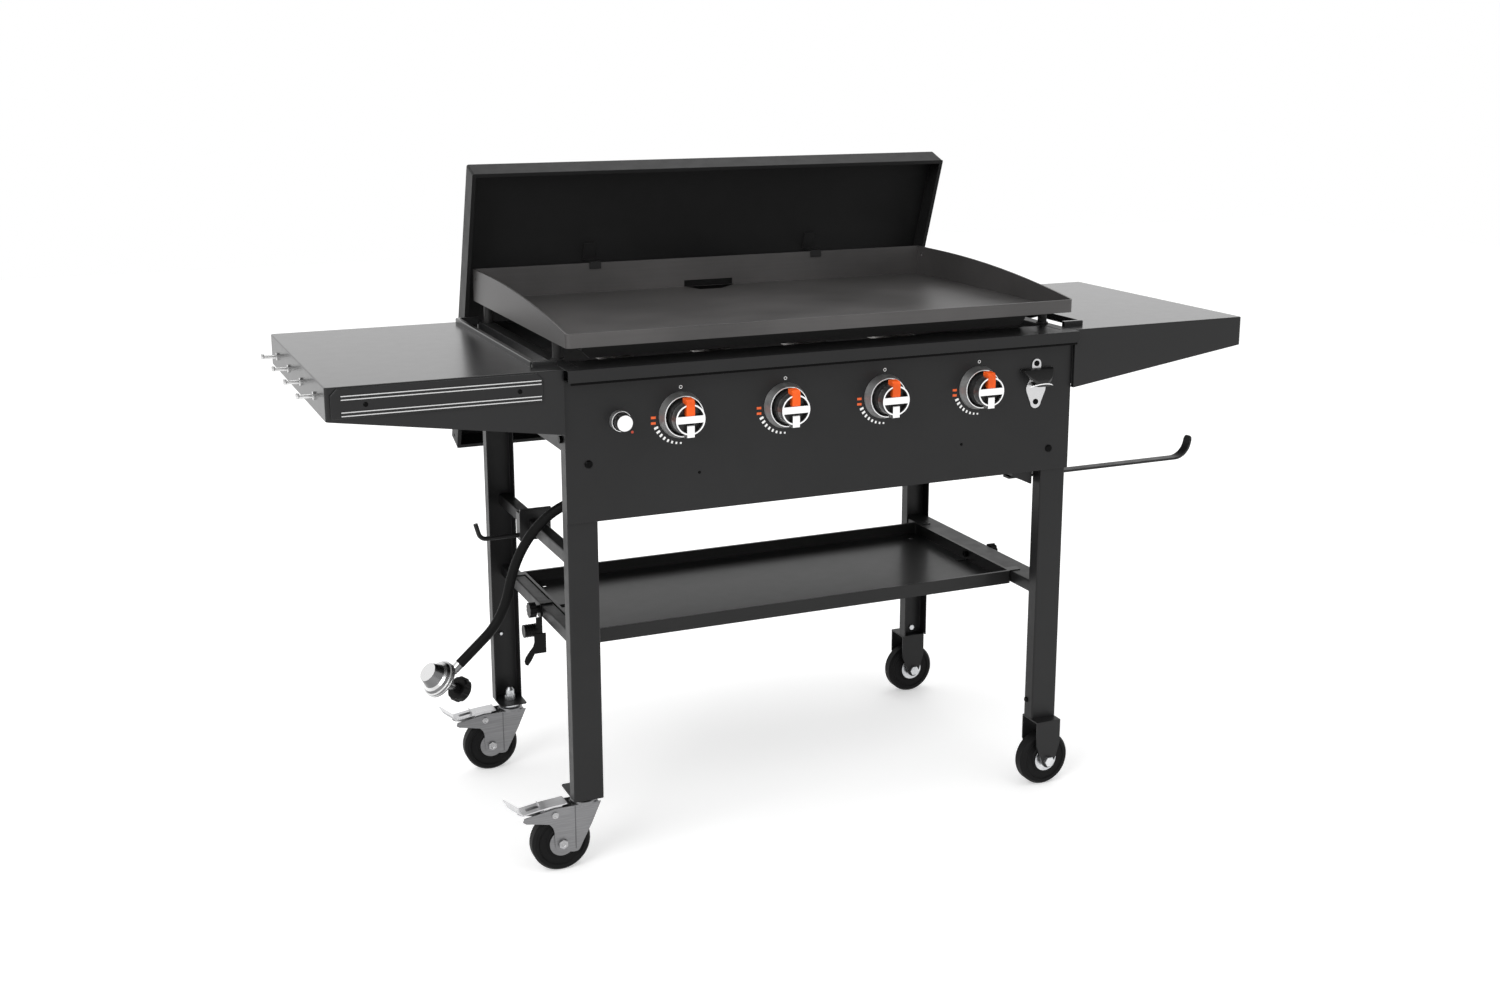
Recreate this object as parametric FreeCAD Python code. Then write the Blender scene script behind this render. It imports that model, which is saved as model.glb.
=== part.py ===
# Outdoor gas griddle station: rolled steel griddle plate on a sheet-metal burner box with four
# channel legs, two side shelves, a bottom tray, two swivel casters at the left and two fixed
# wheels at the right, with a lift-off hard cover that hangs on the plate's rear wall.
# Millimetres. +X runs to the right along the front, +Y to the back, +Z up. While modelling, x is
# 0 at the plate's middle, y is 0 at the plate's front face and z is 0 on the floor. At the end
# everything moves so that the origin is the middle of the outer box on the floor.
import FreeCAD
import Part
import math
import os

V = FreeCAD.Vector

# Sheet and clearances
sheet = 1.5
leg_sheet = 2.0
plate_steel = 3.0
run_gap = 0.3
shaft_gap = 0.05

# Griddle plate
plate_w = 920.0
plate_d = 557.0
plate_z = 880.0
lip_h = 22.0
wall_h = 58.0
arch_back = 77.0
arch_y = plate_d - arch_back
lip_flat = 2.0
plate_corner_r = 8.0
outlet_w = 100.0
outlet_h = 12.0
outlet_drop = 8.0
frame_in = 49.0
frame_half = plate_w / 2 - frame_in
frame_y0 = 76.0
frame_back = 67.0
frame_y1 = plate_d - frame_back
frame_h = 31.0
frame_chamfer = 12.0

# Burner box
body_over = 4.0
body_half = plate_w / 2 + body_over
body_y = 5.0
body_in = 35.5
body_back = plate_d - body_in
deck_z = plate_z - frame_h
rail_y = -18.7
rail_h = 19.5
deck_d = 60.0
panel_h = 249.0
panel_low = deck_z - panel_h
side_h = 134.0
side_low = deck_z - side_h
side_flange = 22.0
rear_h = 137.0
rear_low = deck_z - rear_h
post_r = 8.0
post_in = 14.0
post_x = body_half - post_in
post_front_y = 81.0
post_back = 26.5
post_rear_y = body_back - post_back

# Legs, crossbars and tray
leg_half = body_half - sheet
leg_w = 50.5
leg_d = 25.0
leg_bend = 1.2
leg_front = body_y + 3 * sheet
leg_rear = body_back - sheet
leg_drop = 20.0
leg_top = deck_z - leg_drop
leg_low = 128.0
foot_t = 2.0
foot_front_y = 84.0
foot_len = 61.0
foot_rear_y = leg_rear - foot_len
bar_w = 22.0
bar_z = 501.5
low_bar_h = 20.5
low_bar_z = 366.0
tray_half = leg_half - leg_w + leg_sheet - run_gap
tray_y0 = 97.0
tray_back = 63.0
tray_y1 = leg_rear - tray_back
tray_h = 24.0
tray_rim = 5.0
tray_knob_y = 255.0
steady_y = 268.0

# Shelves
shelf_w = 363.0
shelf_end = body_half + shelf_w
shelf_y0 = -2.0
shelf_in = 0.5
shelf_y1 = body_back - shelf_in
apron_end = 51.0
apron_in = 103.0
shelf_hem = 10.0
cut_w = 35.0
cut_in = body_half + cut_w
cut_y0 = 41.0
cut_back = 16.0
cut_y1 = shelf_y1 - cut_back
rim_w = 8.0
rim_h = 9.0

# Cover
lid_over = 12.0
lid_half = plate_w / 2 + lid_over
lid_depth = 45.3
lid_tilt = 20.15
lid_behind = 54.3
lid_ref_y = plate_d + lid_behind
lid_ref_up = 20.0
lid_ref_z = plate_z + lid_ref_up
lid_up = 243.5
lid_down = 326.0
lid_sheet = 1.2
lid_edge_r = 4.0
hook_x = 228.0
hook_w = 22.0
hook_t = 2.0
hook_front = 11.0
hook_back = 26.0

# Controls
knob_mid = 2.5
knob_step = 182.6
knob_drop = 89.0
knob_z = deck_z - knob_drop
bezel_r = 38.0
bezel_lip_r = 36.5
bezel_in = 34.0
bezel_h = 16.0
knob_r = 29.0
knob_tip_r = 24.5
knob_front = -35.5
knob_back = -0.5
ring_r = 24.8
ring_w = 2.4
ring_len = 15.0
bar_h = 11.5
block_w = 12.5
block_r = 29.5
pointer_w = 13.8
pointer_r = 32.0
pointer_len = 18.0
push = 4.0
stem_r = 4.0
valve_y = 24.0
valve_len = 42.0
igniter_in = 89.5
igniter_x = igniter_in - body_half
button_r = 13.8
button_front = -21.0
button_push = 5.0
ig_bezel_r = 17.0

# Burners and gas line
burner_r = 16.0
burner_drop = 49.0
burner_z = deck_z - burner_drop
burner_y0 = 96.0
burner_back = 51.5
burner_y1 = body_back - burner_back
pipe_r = 9.0
pipe_drop = 30.0
pipe_z = knob_z - pipe_drop
pipe_y = 52.0

# Wheels
wheel_r = 50.0
wheel_w = 28.0
axle_r = 6.0
guard_r = 22.0
wheel_gap = 0.09
pivot_in = 26.5
pivot_x = pivot_in - leg_half
trail = 42.0
left_wheel_x = pivot_x - trail
pivot_front_y = 48.0
pivot_back = 30.0
pivot_rear_y = leg_rear - pivot_back
fork_gap = 32.0
fork_sheet = 2.0
fork_top = 113.5
pin_r = 6.0
right_wheel_in = 24.5
right_wheel_x = leg_half - right_wheel_in
right_front_y = 14.0
right_wheel_back = 6.0
right_rear_y = leg_rear + right_wheel_back
bracket_t = 2.5
bracket_half = 25.0

# Hose
hose_d = 16.5

# Places that several pieces share
plate_half = plate_w / 2
floor_top = plate_z + plate_steel
wall_top = plate_z + wall_h
leg_in = leg_half - leg_w
knob_x = [knob_mid + (i - 1.5) * knob_step for i in range(4)]
hook_reach = 28.0
x_left = -(shelf_end + hook_reach)
x_right = shelf_end
tilt = math.radians(lid_tilt)
y_front = knob_front - 2.0 - 1.0
y_back = lid_ref_y + (lid_down - lid_edge_r) * math.sin(tilt) - lid_edge_r * math.cos(tilt) + lid_edge_r
to_frame = V(-(x_left + x_right) / 2, -(y_front + y_back) / 2, 0)


def box(x0, x1, y0, y1, z0, z1):
    return Part.makeBox(x1 - x0, y1 - y0, z1 - z0, V(x0, y0, z0))


def cyl(x, y, z, r, h, axis):
    return Part.makeCylinder(r, h, V(x, y, z), axis)


X = V(1, 0, 0)
Y = V(0, 1, 0)
Z = V(0, 0, 1)


def prism(points, push_by):
    # A closed outline of 3-D points, pushed along a vector.
    wire = Part.makePolygon([V(*p) for p in points] + [V(*points[0])])
    return Part.Face(wire).extrude(push_by)


def xz_prism(points, y0, y1):
    return prism([(x, y0, z) for x, z in points], V(0, y1 - y0, 0))


def yz_prism(points, x0, x1):
    return prism([(x0, y, z) for y, z in points], V(x1 - x0, 0, 0))


def turned(profile, x, z, y0=0.0):
    # A profile of (radius, y) pairs turned about the line along Y through x, z.
    wire = Part.makePolygon([V(r, y, 0) for r, y in profile] + [V(profile[0][0], profile[0][1], 0)])
    solid = Part.Face(wire).revolve(V(0, 0, 0), Y, 360)
    solid.translate(V(x, y0, z))
    return solid


def joined(shapes):
    out = shapes[0].fuse(shapes[1:])
    return out.removeSplitter()


def mirrored(shape):
    return shape.mirror(V(0, 0, 0), X)


def rounded(shape, radius, test):
    edges = [e for e in shape.Edges if test(e)]
    return shape.makeFillet(radius, edges)


def along(edge, axis):
    if not isinstance(edge.Curve, Part.Line):
        return False
    d = edge.Curve.Direction
    return abs(abs(d.dot(axis)) - 1) < 1e-6


nodes = {}


# Griddle plate: a folded and welded pan. The side walls fall in one long arc from the rear
# wall to the front lip, and a wide slot in the rear wall lets the grease out.
def griddle_plate():
    outer = box(-plate_half, plate_half, 0, plate_d, plate_z, wall_top)
    outer = rounded(outer, plate_corner_r, lambda e: along(e, Z) and e.CenterOfMass.y < 1)
    inner = box(-plate_half + plate_steel, plate_half - plate_steel, plate_steel,
                plate_d - plate_steel, floor_top, wall_top + 1)
    inner = rounded(inner, plate_corner_r - plate_steel, lambda e: along(e, Z) and e.CenterOfMass.y < 10)
    pan = outer.cut(inner)
    lip_top = plate_z + lip_h
    fall = wall_h - lip_h
    reach = arch_y - lip_flat
    radius = (reach ** 2 + fall ** 2) / (2 * fall)
    mid_y = lip_flat + reach / 2
    mid_z = wall_top - radius + math.sqrt(radius ** 2 - (arch_y - mid_y) ** 2)
    a = V(-plate_half - 1, -1, lip_top)
    b = V(-plate_half - 1, lip_flat, lip_top)
    m = V(-plate_half - 1, mid_y, mid_z)
    c = V(-plate_half - 1, arch_y, wall_top)
    d = V(-plate_half - 1, arch_y, wall_top + 5)
    e = V(-plate_half - 1, -1, wall_top + 5)
    edges = [Part.LineSegment(a, b).toShape(), Part.Arc(b, m, c).toShape(),
             Part.LineSegment(c, d).toShape(), Part.LineSegment(d, e).toShape(),
             Part.LineSegment(e, a).toShape()]
    waste = Part.Face(Part.Wire(edges)).extrude(V(plate_w + 2, 0, 0))
    pan = pan.cut(waste)
    half = outlet_w / 2
    back = plate_d - plate_steel
    pan = pan.cut(box(-half, half, back, plate_d + 1, floor_top, floor_top + outlet_h))
    drop = [(-half * 0.96, back), (-half * 0.85, back - outlet_drop), (-half * 0.4, back - 2 * outlet_drop),
            (half * 0.4, back - 2 * outlet_drop), (half * 0.85, back - outlet_drop), (half * 0.96, back)]
    pan = pan.cut(prism([(x, y, plate_z - 1) for x, y in drop], V(0, 0, plate_steel + 1.5)))
    vent = cyl(plate_half - plate_steel - 1, plate_d - 20, wall_top - 16, 3.0, plate_steel + 2, X)
    pan = pan.cut(vent)
    return pan.cut(mirrored(vent))


nodes["griddle_plate"] = griddle_plate()


# Frame of upright strips welded under the plate, with chamfered front corners. It keeps the
# wind off the flames and the plate flat, and drops a little into the burner box.
def plate_frame():
    t = plate_steel
    low = plate_z - frame_h
    c = frame_chamfer
    front = xz_prism([(-frame_half, plate_z), (frame_half, plate_z), (frame_half, low + c),
                      (frame_half - c, low), (-frame_half + c, low), (-frame_half, low + c)],
                     frame_y0, frame_y0 + t)
    rear = front.translated(V(0, frame_y1 - frame_y0 - t, 0))
    side = box(-frame_half, -frame_half + t, frame_y0 + t, frame_y1 - t, low + c, plate_z)
    mid = box(-t / 2, t / 2, frame_y0 + t, frame_y1 - t, low + c, plate_z)
    return joined([front, rear, side, mirrored(side), mid])


nodes["plate_frame"] = plate_frame()


# Four posts stand on the side panels' top flanges, each with a levelling foot under its head.
def plate_posts():
    out = []
    for side in (-1, 1):
        for y in (post_front_y, post_rear_y):
            stem = cyl(side * post_x, y, deck_z, post_r, plate_z - deck_z, Z)
            collar = cyl(side * post_x, y, deck_z, post_r + 2.5, 3.0, Z)
            out.append(joined([stem, collar]))
    return Part.makeCompound(out)


nodes["plate_posts"] = plate_posts()


# Front panel: one folded sheet. From the bottom return it rises to the rail, steps forward,
# up and back over the deck, and turns down behind. Hems stiffen both ends.
def front_panel():
    t = sheet
    rail_low = deck_z - rail_h
    outline = [(body_y, panel_low), (body_y + 16, panel_low), (body_y + 16, panel_low + t),
               (body_y + t, panel_low + t), (body_y + t, rail_low + t), (rail_y + t, rail_low + t),
               (rail_y + t, deck_z - t), (deck_d - t, deck_z - t), (deck_d - t, deck_z - 14),
               (deck_d, deck_z - 14), (deck_d, deck_z), (rail_y, deck_z), (rail_y, rail_low),
               (body_y, rail_low)]
    skin = yz_prism(outline, -body_half, body_half)
    # The deck narrows behind the panel, between the side panels.
    notch = box(-body_half - 1, -body_half + sheet + side_flange + 1, body_y + 3, deck_d + 1,
                deck_z - 16, deck_z + 1)
    skin = skin.cut(notch).cut(mirrored(notch))
    low_notch = box(-body_half - 1, -leg_in + 1, body_y + 2 * t, body_y + 17, panel_low - 1, panel_low + 3)
    skin = skin.cut(low_notch).cut(mirrored(low_notch))
    hem = box(-body_half, -body_half + 22, body_y + t, body_y + 2 * t, panel_low + t + 1, rail_low)
    skin = joined([skin, hem, mirrored(hem)])
    for x in knob_x:
        skin = skin.cut(cyl(x, body_y - 1, knob_z, 13.0, 5, Y))
    skin = skin.cut(cyl(igniter_x, body_y - 1, knob_z, button_r + 0.7, 5, Y))
    return skin


nodes["front_panel"] = front_panel()


# Side panels: upright sheets with a top flange for the posts, flanges at both ends that bolt
# behind the front panel and to the rear legs, and an arched air slot low in the sheet.
def side_panels():
    t = sheet
    x0 = -body_half
    y0 = body_y + 2 * t
    y1 = body_back
    wall = box(x0, x0 + t, y0, y1, side_low, deck_z)
    top = box(x0, x0 + side_flange, y0, y1, deck_z - t, deck_z)
    front = box(x0, x0 + side_flange, y0, y0 + t, side_low, deck_z - t)
    rear = box(x0, x0 + side_flange, y1 - t, y1, side_low, deck_z - t)
    low = box(x0, x0 + 12, leg_front + leg_d + 4, leg_rear - leg_d - 4, side_low, side_low + t)
    panel = joined([wall, top, front, rear, low])
    panel = panel.cut(box(x0 - 1, x0 + side_flange + 1, y0 - 1, y0 + t, deck_z - rail_h, deck_z - 16))
    for i in range(7):
        y = 140 + i * 42.0
        slot = box(x0 - 1, x0 + t + 1, y, y + 26, side_low + 22, side_low + 30)
        slot = rounded(slot, 3.9, lambda e: along(e, X))
        panel = panel.cut(slot)
    return Part.makeCompound([panel, mirrored(panel)])


nodes["side_panels"] = side_panels()


# Rear panel between the rear legs, with a row of air slots, a top flange and two rails that
# carry the grease cup.
cup_w = 130.0
cup_d = 50.0
cup_h = 62.0
cup_x = -cup_w / 2
cup_y = body_back + sheet + 12.0
cup_top = plate_z - 6.0
cup_rim = 4.0
cup_lip = 3.6


def rear_panel():
    t = sheet
    y0 = body_back
    skin = box(-body_half + 3, body_half - 3, y0, y0 + t, rear_low, deck_z - 4)
    top = box(-leg_in + 2, leg_in - 2, y0 - 20, y0, deck_z - 4 - t, deck_z - 4)
    foot = box(-leg_in + 2, leg_in - 2, y0 - 14, y0, rear_low, rear_low + t)
    panel = joined([skin, top, foot])
    for i in range(16):
        x = (leg_in - 22.0) * (2 * i / 15 - 1)
        slot = box(x - 17, x + 17, y0 - 1, y0 + t + 1, rear_low + 34, rear_low + 42)
        slot = rounded(slot, 3.9, lambda e: along(e, Y))
        panel = panel.cut(slot)
    # Grease cup bracket: a back plate with a rail along X, a second rail beyond the cup, and
    # an end arm that joins them and stops the cup. The other end is open.
    rail_top = cup_top - cup_rim - run_gap
    x0 = cup_x - 8.0
    x1 = cup_x + cup_w + 6.0
    plate = box(x0, x1, y0 + t, y0 + 2 * t, deck_z - 45, rail_top)
    near = box(x0, x1, y0 + 2 * t, cup_y - 1.0, rail_top - t, rail_top)
    far_y = cup_y + cup_d + 1.0
    far = box(x0, x1, far_y, far_y + 8, rail_top - t, rail_top)
    lip = box(x0, x1, far_y + 8, far_y + 8 + t, rail_top - 16, rail_top)
    arm = box(x0, x0 + t, y0 + 2 * t, far_y + 8, rail_top - 34, rail_top)
    return joined([panel, plate, near, far, lip, arm])


# Grease cup: a tapered pan whose long sides have rolled rims. They hang on the two rails, and
# the cup slides out to the right.
def grease_cup():
    taper = 6.0
    z1 = cup_top
    z0 = cup_top - cup_h

    def ring(x0, x1, y0, y1, z):
        return Part.makePolygon([V(x0, y0, z), V(x1, y0, z), V(x1, y1, z), V(x0, y1, z), V(x0, y0, z)])
    y1 = cup_y + cup_d
    outer = Part.makeLoft([ring(cup_x + taper, cup_x + cup_w - taper, cup_y + taper, y1 - taper, z0),
                           ring(cup_x, cup_x + cup_w, cup_y, y1, z1)], True, True)
    w = 1.0
    inner = Part.makeLoft([ring(cup_x + taper + w, cup_x + cup_w - taper - w, cup_y + taper + w,
                                y1 - taper - w, z0 + w),
                           ring(cup_x + w, cup_x + cup_w - w, cup_y + w, y1 - w, z1)], True, True)
    cup = outer.cut(inner)
    rim = box(cup_x + 2, cup_x + cup_w - 2, cup_y - cup_lip, cup_y + 0.4, z1 - cup_rim, z1)
    rim = rim.cut(box(cup_x + 1, cup_x + cup_w - 1, cup_y - cup_lip + w, cup_y + 0.5, z1 - cup_rim - 1, z1 - w))
    far_rim = rim.mirror(V(0, cup_y + cup_d / 2, 0), Y)
    return joined([cup, rim, far_rim])


nodes["rear_panel"] = rear_panel()
nodes["grease_cup"] = grease_cup()


# Shelf: one pressed sheet with aprons on three sides, whose front and rear aprons deepen
# towards the body, in-turned hems, and a rimmed opening beside the body that hangs a bin bag.
def left_shelf():
    t = sheet
    xe = -shelf_end
    xi = -body_half - t
    low_e = deck_z - apron_end
    low_i = deck_z - apron_in
    slope = (low_e - low_i) / (xe - xi)

    def slab(inset, z_off, top, y_in):
        # A slice of the shelf's outline with its sides moved in and its bottom raised.
        a = xe + inset
        b = xi if inset == 0 else xi + 20
        za = low_e + slope * inset + z_off
        zb = low_i + slope * (b - xi) + z_off
        return xz_prism([(a, top), (b, top), (b, zb), (a, za)], shelf_y0 + y_in, shelf_y1 - y_in)

    outer = slab(0, 0, deck_z, 0)
    outer = rounded(outer, 5.0, lambda e: along(e, Z) and e.CenterOfMass.x < xe + 1)
    outer = rounded(outer, 2.0, lambda e: e.CenterOfMass.z > deck_z - 0.01 and e.CenterOfMass.x < xi - 1
                    and not along(e, Z))
    cavity = slab(t, t, deck_z - t, t)
    window = slab(t + shelf_hem, -5.0, deck_z - t - 10, t + shelf_hem)
    shell = outer.cut(cavity).cut(window)
    # Opening beside the body, with a rolled rim on three sides.
    opening = box(-cut_in, xi + 1, cut_y0, cut_y1, deck_z - 12, deck_z + rim_h + 1)
    rim = box(-cut_in - rim_w, xi, cut_y0 - rim_w, cut_y1 + rim_w, deck_z, deck_z + rim_h)
    rim = rounded(rim, rim_w * 0.8, lambda e: along(e, Z) and e.CenterOfMass.x < -cut_in)
    rim = rounded(rim, 2.0, lambda e: e.CenterOfMass.z > deck_z + rim_h - 0.01 and e.CenterOfMass.x < xi - 1)
    under = box(-cut_in - rim_w + t, xi + 1, cut_y0 - rim_w + t, cut_y1 + rim_w - t,
                deck_z - t - 0.1, deck_z + rim_h - t)
    web = box(-cut_in - t, xi + 2, cut_y0 - t, cut_y1 + t, deck_z - 2.5 * t, deck_z + rim_h - t)
    skirt = web.cut(box(-cut_in, xi + 3, cut_y0, cut_y1, deck_z - 20, deck_z + rim_h))
    skirt = skirt.common(box(-cut_in - t, xi, cut_y0 - t, cut_y1 + t, deck_z - 20, deck_z + rim_h))
    shell = joined([shell, rim]).cut(under).cut(opening)
    # The inner leg of the rolled rim stands round the opening.
    shell = joined([shell, skirt])
    # Flanges that bolt to the side panel at front and rear.
    tab_f = box(xi, xi + t, shelf_y0 + t, 62, deck_z - apron_in + 6, deck_z - 20)
    tab_f = tab_f.cut(box(xi - 1, xi + t + 1, shelf_y0, body_y + 2 * t + 1, 0, 2000))
    link = box(xi - t, xi, shelf_y0 + t, 62, deck_z - apron_in + 6, deck_z - 20)
    tab_r = box(xi - t, xi + t, 470, shelf_y1 - t, deck_z - apron_in + 6, deck_z - 20)
    return joined([shell, tab_f, link, tab_r])


nodes["left_shelf"] = left_shelf()
nodes["right_shelf"] = mirrored(nodes["left_shelf"])


# Tool strip on the left shelf's front apron: a chamfered carrier with two magnet bars, each
# between two bright pole rails.
strip_t = 4.0
strip_x0 = 7.0 - shelf_end
strip_x1 = -cut_in
strip_z0 = deck_z - 48.0
strip_z1 = deck_z - 2.0
pole_t = 1.6
pole_out = 2.0
pole_pairs = [(strip_z0 + 28.6, strip_z0 + 34.0), (strip_z0 + 4.2, strip_z0 + 9.6)]


def tool_strip():
    y1 = shelf_y0
    y0 = y1 - strip_t
    c = 10.0
    plate = xz_prism([(strip_x0, strip_z0 + 3), (strip_x0 + 3, strip_z0), (strip_x1 - 3, strip_z0),
                      (strip_x1, strip_z0 + 3), (strip_x1, strip_z1 - c), (strip_x1 - c, strip_z1),
                      (strip_x0 + c, strip_z1), (strip_x0, strip_z1 - c)], y0, y1)
    plate = plate.makeChamfer(1.2, [e for e in plate.Edges if abs(e.CenterOfMass.y - y0) < 0.01])
    bars = [box(strip_x0 + 15, strip_x1 - 4, y0 - 1.2, y0, z0 + pole_t, z1) for z0, z1 in pole_pairs]
    return joined([plate] + bars)


def strip_poles():
    y0 = shelf_y0 - strip_t
    out = []
    for z0, z1 in pole_pairs:
        for z in (z0, z1):
            out.append(box(strip_x0 + 15, strip_x1 - 4, y0 - pole_out, y0, z, z + pole_t))
    return Part.makeCompound(out)


nodes["tool_strip"] = tool_strip()
nodes["strip_poles"] = strip_poles()


# Tool hooks on the left shelf's end apron: round pegs with a collar and a raised ball end.
tool_y = [84.6, 205.1, 325.6, 446.1]
tool_z = deck_z - 27.0


def tool_hooks():
    out = []
    for y in tool_y:
        collar = cyl(-shelf_end, y, tool_z, 6.5, 3.0, V(-1, 0, 0))
        peg = cyl(-shelf_end, y, tool_z, 3.2, hook_reach - 3, V(-1, 0, 0))
        tip = cyl(-shelf_end - hook_reach + 5.0, y, tool_z + 1.4, 4.6, 5.0, V(-1, 0, 0))
        tip = tip.makeChamfer(1.2, [e for e in tip.Edges if e.Length > 20])
        out.append(joined([collar, peg, tip]))
    return Part.makeCompound(out)


nodes["tool_hooks"] = tool_hooks()


# Legs: open channels of bent sheet, webs outward to the front and back. The left legs end in
# foot plates for the swivel casters.
def channel_leg(front):
    t = leg_sheet
    x0 = -leg_half
    x1 = -leg_in
    if front:
        outer = box(x0, x1, leg_front, leg_front + leg_d, leg_low, leg_top)
        inner = box(x0 + t, x1 - t, leg_front + t, leg_front + leg_d + 1, leg_low - 1, leg_top + 1)
        outer = rounded(outer, 3.0, lambda e: along(e, Z) and e.CenterOfMass.y < leg_front + 1)
        inner = rounded(inner, leg_bend, lambda e: along(e, Z) and e.CenterOfMass.y < leg_front + t + 1)
    else:
        outer = box(x0, x1, leg_rear - leg_d, leg_rear, leg_low, leg_top)
        inner = box(x0 + t, x1 - t, leg_rear - leg_d - 1, leg_rear - t, leg_low - 1, leg_top + 1)
        outer = rounded(outer, 3.0, lambda e: along(e, Z) and e.CenterOfMass.y > leg_rear - 1)
        inner = rounded(inner, leg_bend, lambda e: along(e, Z) and e.CenterOfMass.y > leg_rear - t - 1)
    return outer.cut(inner)


front_leg = channel_leg(True)
rear_leg = channel_leg(False)


def foot_plate(y0, y1, pivot_y):
    plate = box(-leg_half, -leg_in, y0, y1, leg_low, leg_low + foot_t)
    plate = rounded(plate, 4.0, lambda e: along(e, Z))
    return plate.cut(cyl(pivot_x, pivot_y, leg_low - 1, pin_r, foot_t + 2, Z))


nodes["legs"] = Part.makeCompound([
    joined([front_leg, foot_plate(leg_front + 0.5, foot_front_y, pivot_front_y)]),
    joined([rear_leg, foot_plate(foot_rear_y, leg_rear - 0.5, pivot_rear_y)]),
    mirrored(front_leg), mirrored(rear_leg)])


# Crossbars from front leg to rear leg, inside the channels and clear of their bends: a square
# tube up on the left, and a flanged channel low down on each side. The low ones have a hole in
# each wall for a thumb screw.
screw_r = 3.0
screw_z = low_bar_z + 11.0


def crossbars():
    y0 = leg_front + leg_sheet + leg_bend
    y1 = leg_rear - leg_sheet - leg_bend
    x1 = -leg_in - leg_sheet
    t = sheet
    upper = box(x1 - bar_w, x1, y0, y1, bar_z, bar_z + bar_w)
    upper = rounded(upper, 2.5, lambda e: along(e, Y))
    upper = upper.cut(box(x1 - bar_w + t, x1 - t, y0 - 1, y1 + 1, bar_z + t, bar_z + bar_w - t))
    top = low_bar_z + low_bar_h
    low = box(x1 - bar_w, x1, y0, y1, low_bar_z, top)
    low = rounded(low, 2.5, lambda e: along(e, Y) and e.CenterOfMass.z > top - 1)
    low = low.cut(box(x1 - bar_w + t, x1 - t, y0 - 1, y1 + 1, low_bar_z - 1, top - t))
    low = low.cut(cyl(x1 - bar_w - 1, steady_y, screw_z, screw_r + shaft_gap, bar_w + 2, X))
    w = leg_w - 2 * leg_sheet
    r0 = leg_in + leg_sheet
    right = box(r0, r0 + w, y0, y1, low_bar_z, top)
    right = rounded(right, 2.5, lambda e: along(e, Y) and e.CenterOfMass.z > top - 1)
    right = right.cut(box(r0 + t, r0 + w - t, y0 - 1, y1 + 1, low_bar_z - 1, top - t))
    right = right.cut(cyl(r0 - 1, tray_knob_y, screw_z, screw_r + shaft_gap, w + 2, X))
    return Part.makeCompound([upper, low, right])


nodes["crossbars"] = crossbars()


# Bottom tray: a shallow folded tray with a smooth floor, drain holes, an in-turned rim and four
# ears that lie on the lower crossbars. Two thumb screws clamp its side walls to the crossbars;
# their nuts sit inside the walls, the right one over a small clip.
def bottom_tray():
    t = sheet
    top = low_bar_z + low_bar_h + t
    low = top - tray_h
    outer = box(-tray_half, tray_half, tray_y0, tray_y1, low, top)
    outer = rounded(outer, 6.0, lambda e: along(e, Z))
    inner = box(-tray_half + t, tray_half - t, tray_y0 + t, tray_y1 - t, low + t, top + 1)
    inner = rounded(inner, 4.5, lambda e: along(e, Z))
    tray = outer.cut(inner)
    rim_in = box(-tray_half + t, tray_half - t, tray_y0 + t, tray_y1 - t, top - t, top)
    rim_hole = box(-tray_half + tray_rim, tray_half - tray_rim, tray_y0 + tray_rim, tray_y1 - tray_rim,
                   top - t - 1, top + 1)
    parts = [tray, rim_in.cut(rim_hole)]
    ears = []
    for y in (tray_y0 + 2.0, tray_y1 - 2.0 - 18.0):
        ears.append(box(-leg_in - leg_sheet - bar_w + 2, -tray_half + t, y, y + 18, top - t, top))
        ears.append(box(tray_half - t, leg_in + leg_sheet + bar_w - 2, y, y + 18, top - t, top))
    clip = box(tray_half - 24, tray_half - t, tray_knob_y - 5, tray_knob_y + 5, low + t, low + 2 * t)
    tray = joined(parts + ears + [clip])
    tray = tray.cut(cyl(tray_half - 5, tray_knob_y, screw_z, screw_r + shaft_gap, 10, X))
    tray = tray.cut(cyl(-tray_half - 5, steady_y, screw_z, screw_r + shaft_gap, 10, X))
    for sx in (-1, 1):
        for y in (tray_y0 + 34, tray_y1 - 34):
            tray = tray.cut(cyl(sx * (tray_half - 32), y, low - 1, 4.0, t + 2, Z))
    return tray


nodes["bottom_tray"] = bottom_tray()


# Burners: four long tubes with a flattened row of ports on both flanks, a closed rear end
# and a venturi mouth over each valve's nozzle.
def burners():
    out = []
    for x in knob_x:
        tube = cyl(x, burner_y0, burner_z, burner_r, burner_y1 - burner_y0, Y)
        bore = cyl(x, burner_y0 - 1, burner_z, burner_r - sheet, burner_y1 - burner_y0 - 3, Y)
        tab = box(x - 10, x + 10, burner_y1 - 1, burner_y1 + 22, burner_z - 1.5, burner_z + 1.5)
        out.append(joined([tube.cut(bore), tab]))
    return Part.makeCompound(out)


# Burner rails: a folded strip across the box at each end of the burners, with a seat for each.
def burner_rails():
    t = sheet
    half = body_half - t
    out = []
    for y, h in ((burner_y0 + 54.0, 18.0), (burner_y1 - 30.0, 18.0)):
        flat = box(-half, half, y, y + h, burner_z - burner_r - 6, burner_z - burner_r - 6 + t)
        up = box(-half, half, y, y + t, burner_z - burner_r - 6, burner_z + 4)
        for x in knob_x:
            up = up.cut(cyl(x, y - 1, burner_z, burner_r, t + 2, Y))
            up = up.cut(box(x - burner_r, x + burner_r, y - 1, y + t + 1, burner_z, burner_z + 20))
        end_l = box(-half, -half + t, y, y + h, burner_z - burner_r - 6, deck_z - 30)
        out.append(joined([flat, up, end_l, mirrored(end_l)]))
    return Part.makeCompound(out)


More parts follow.
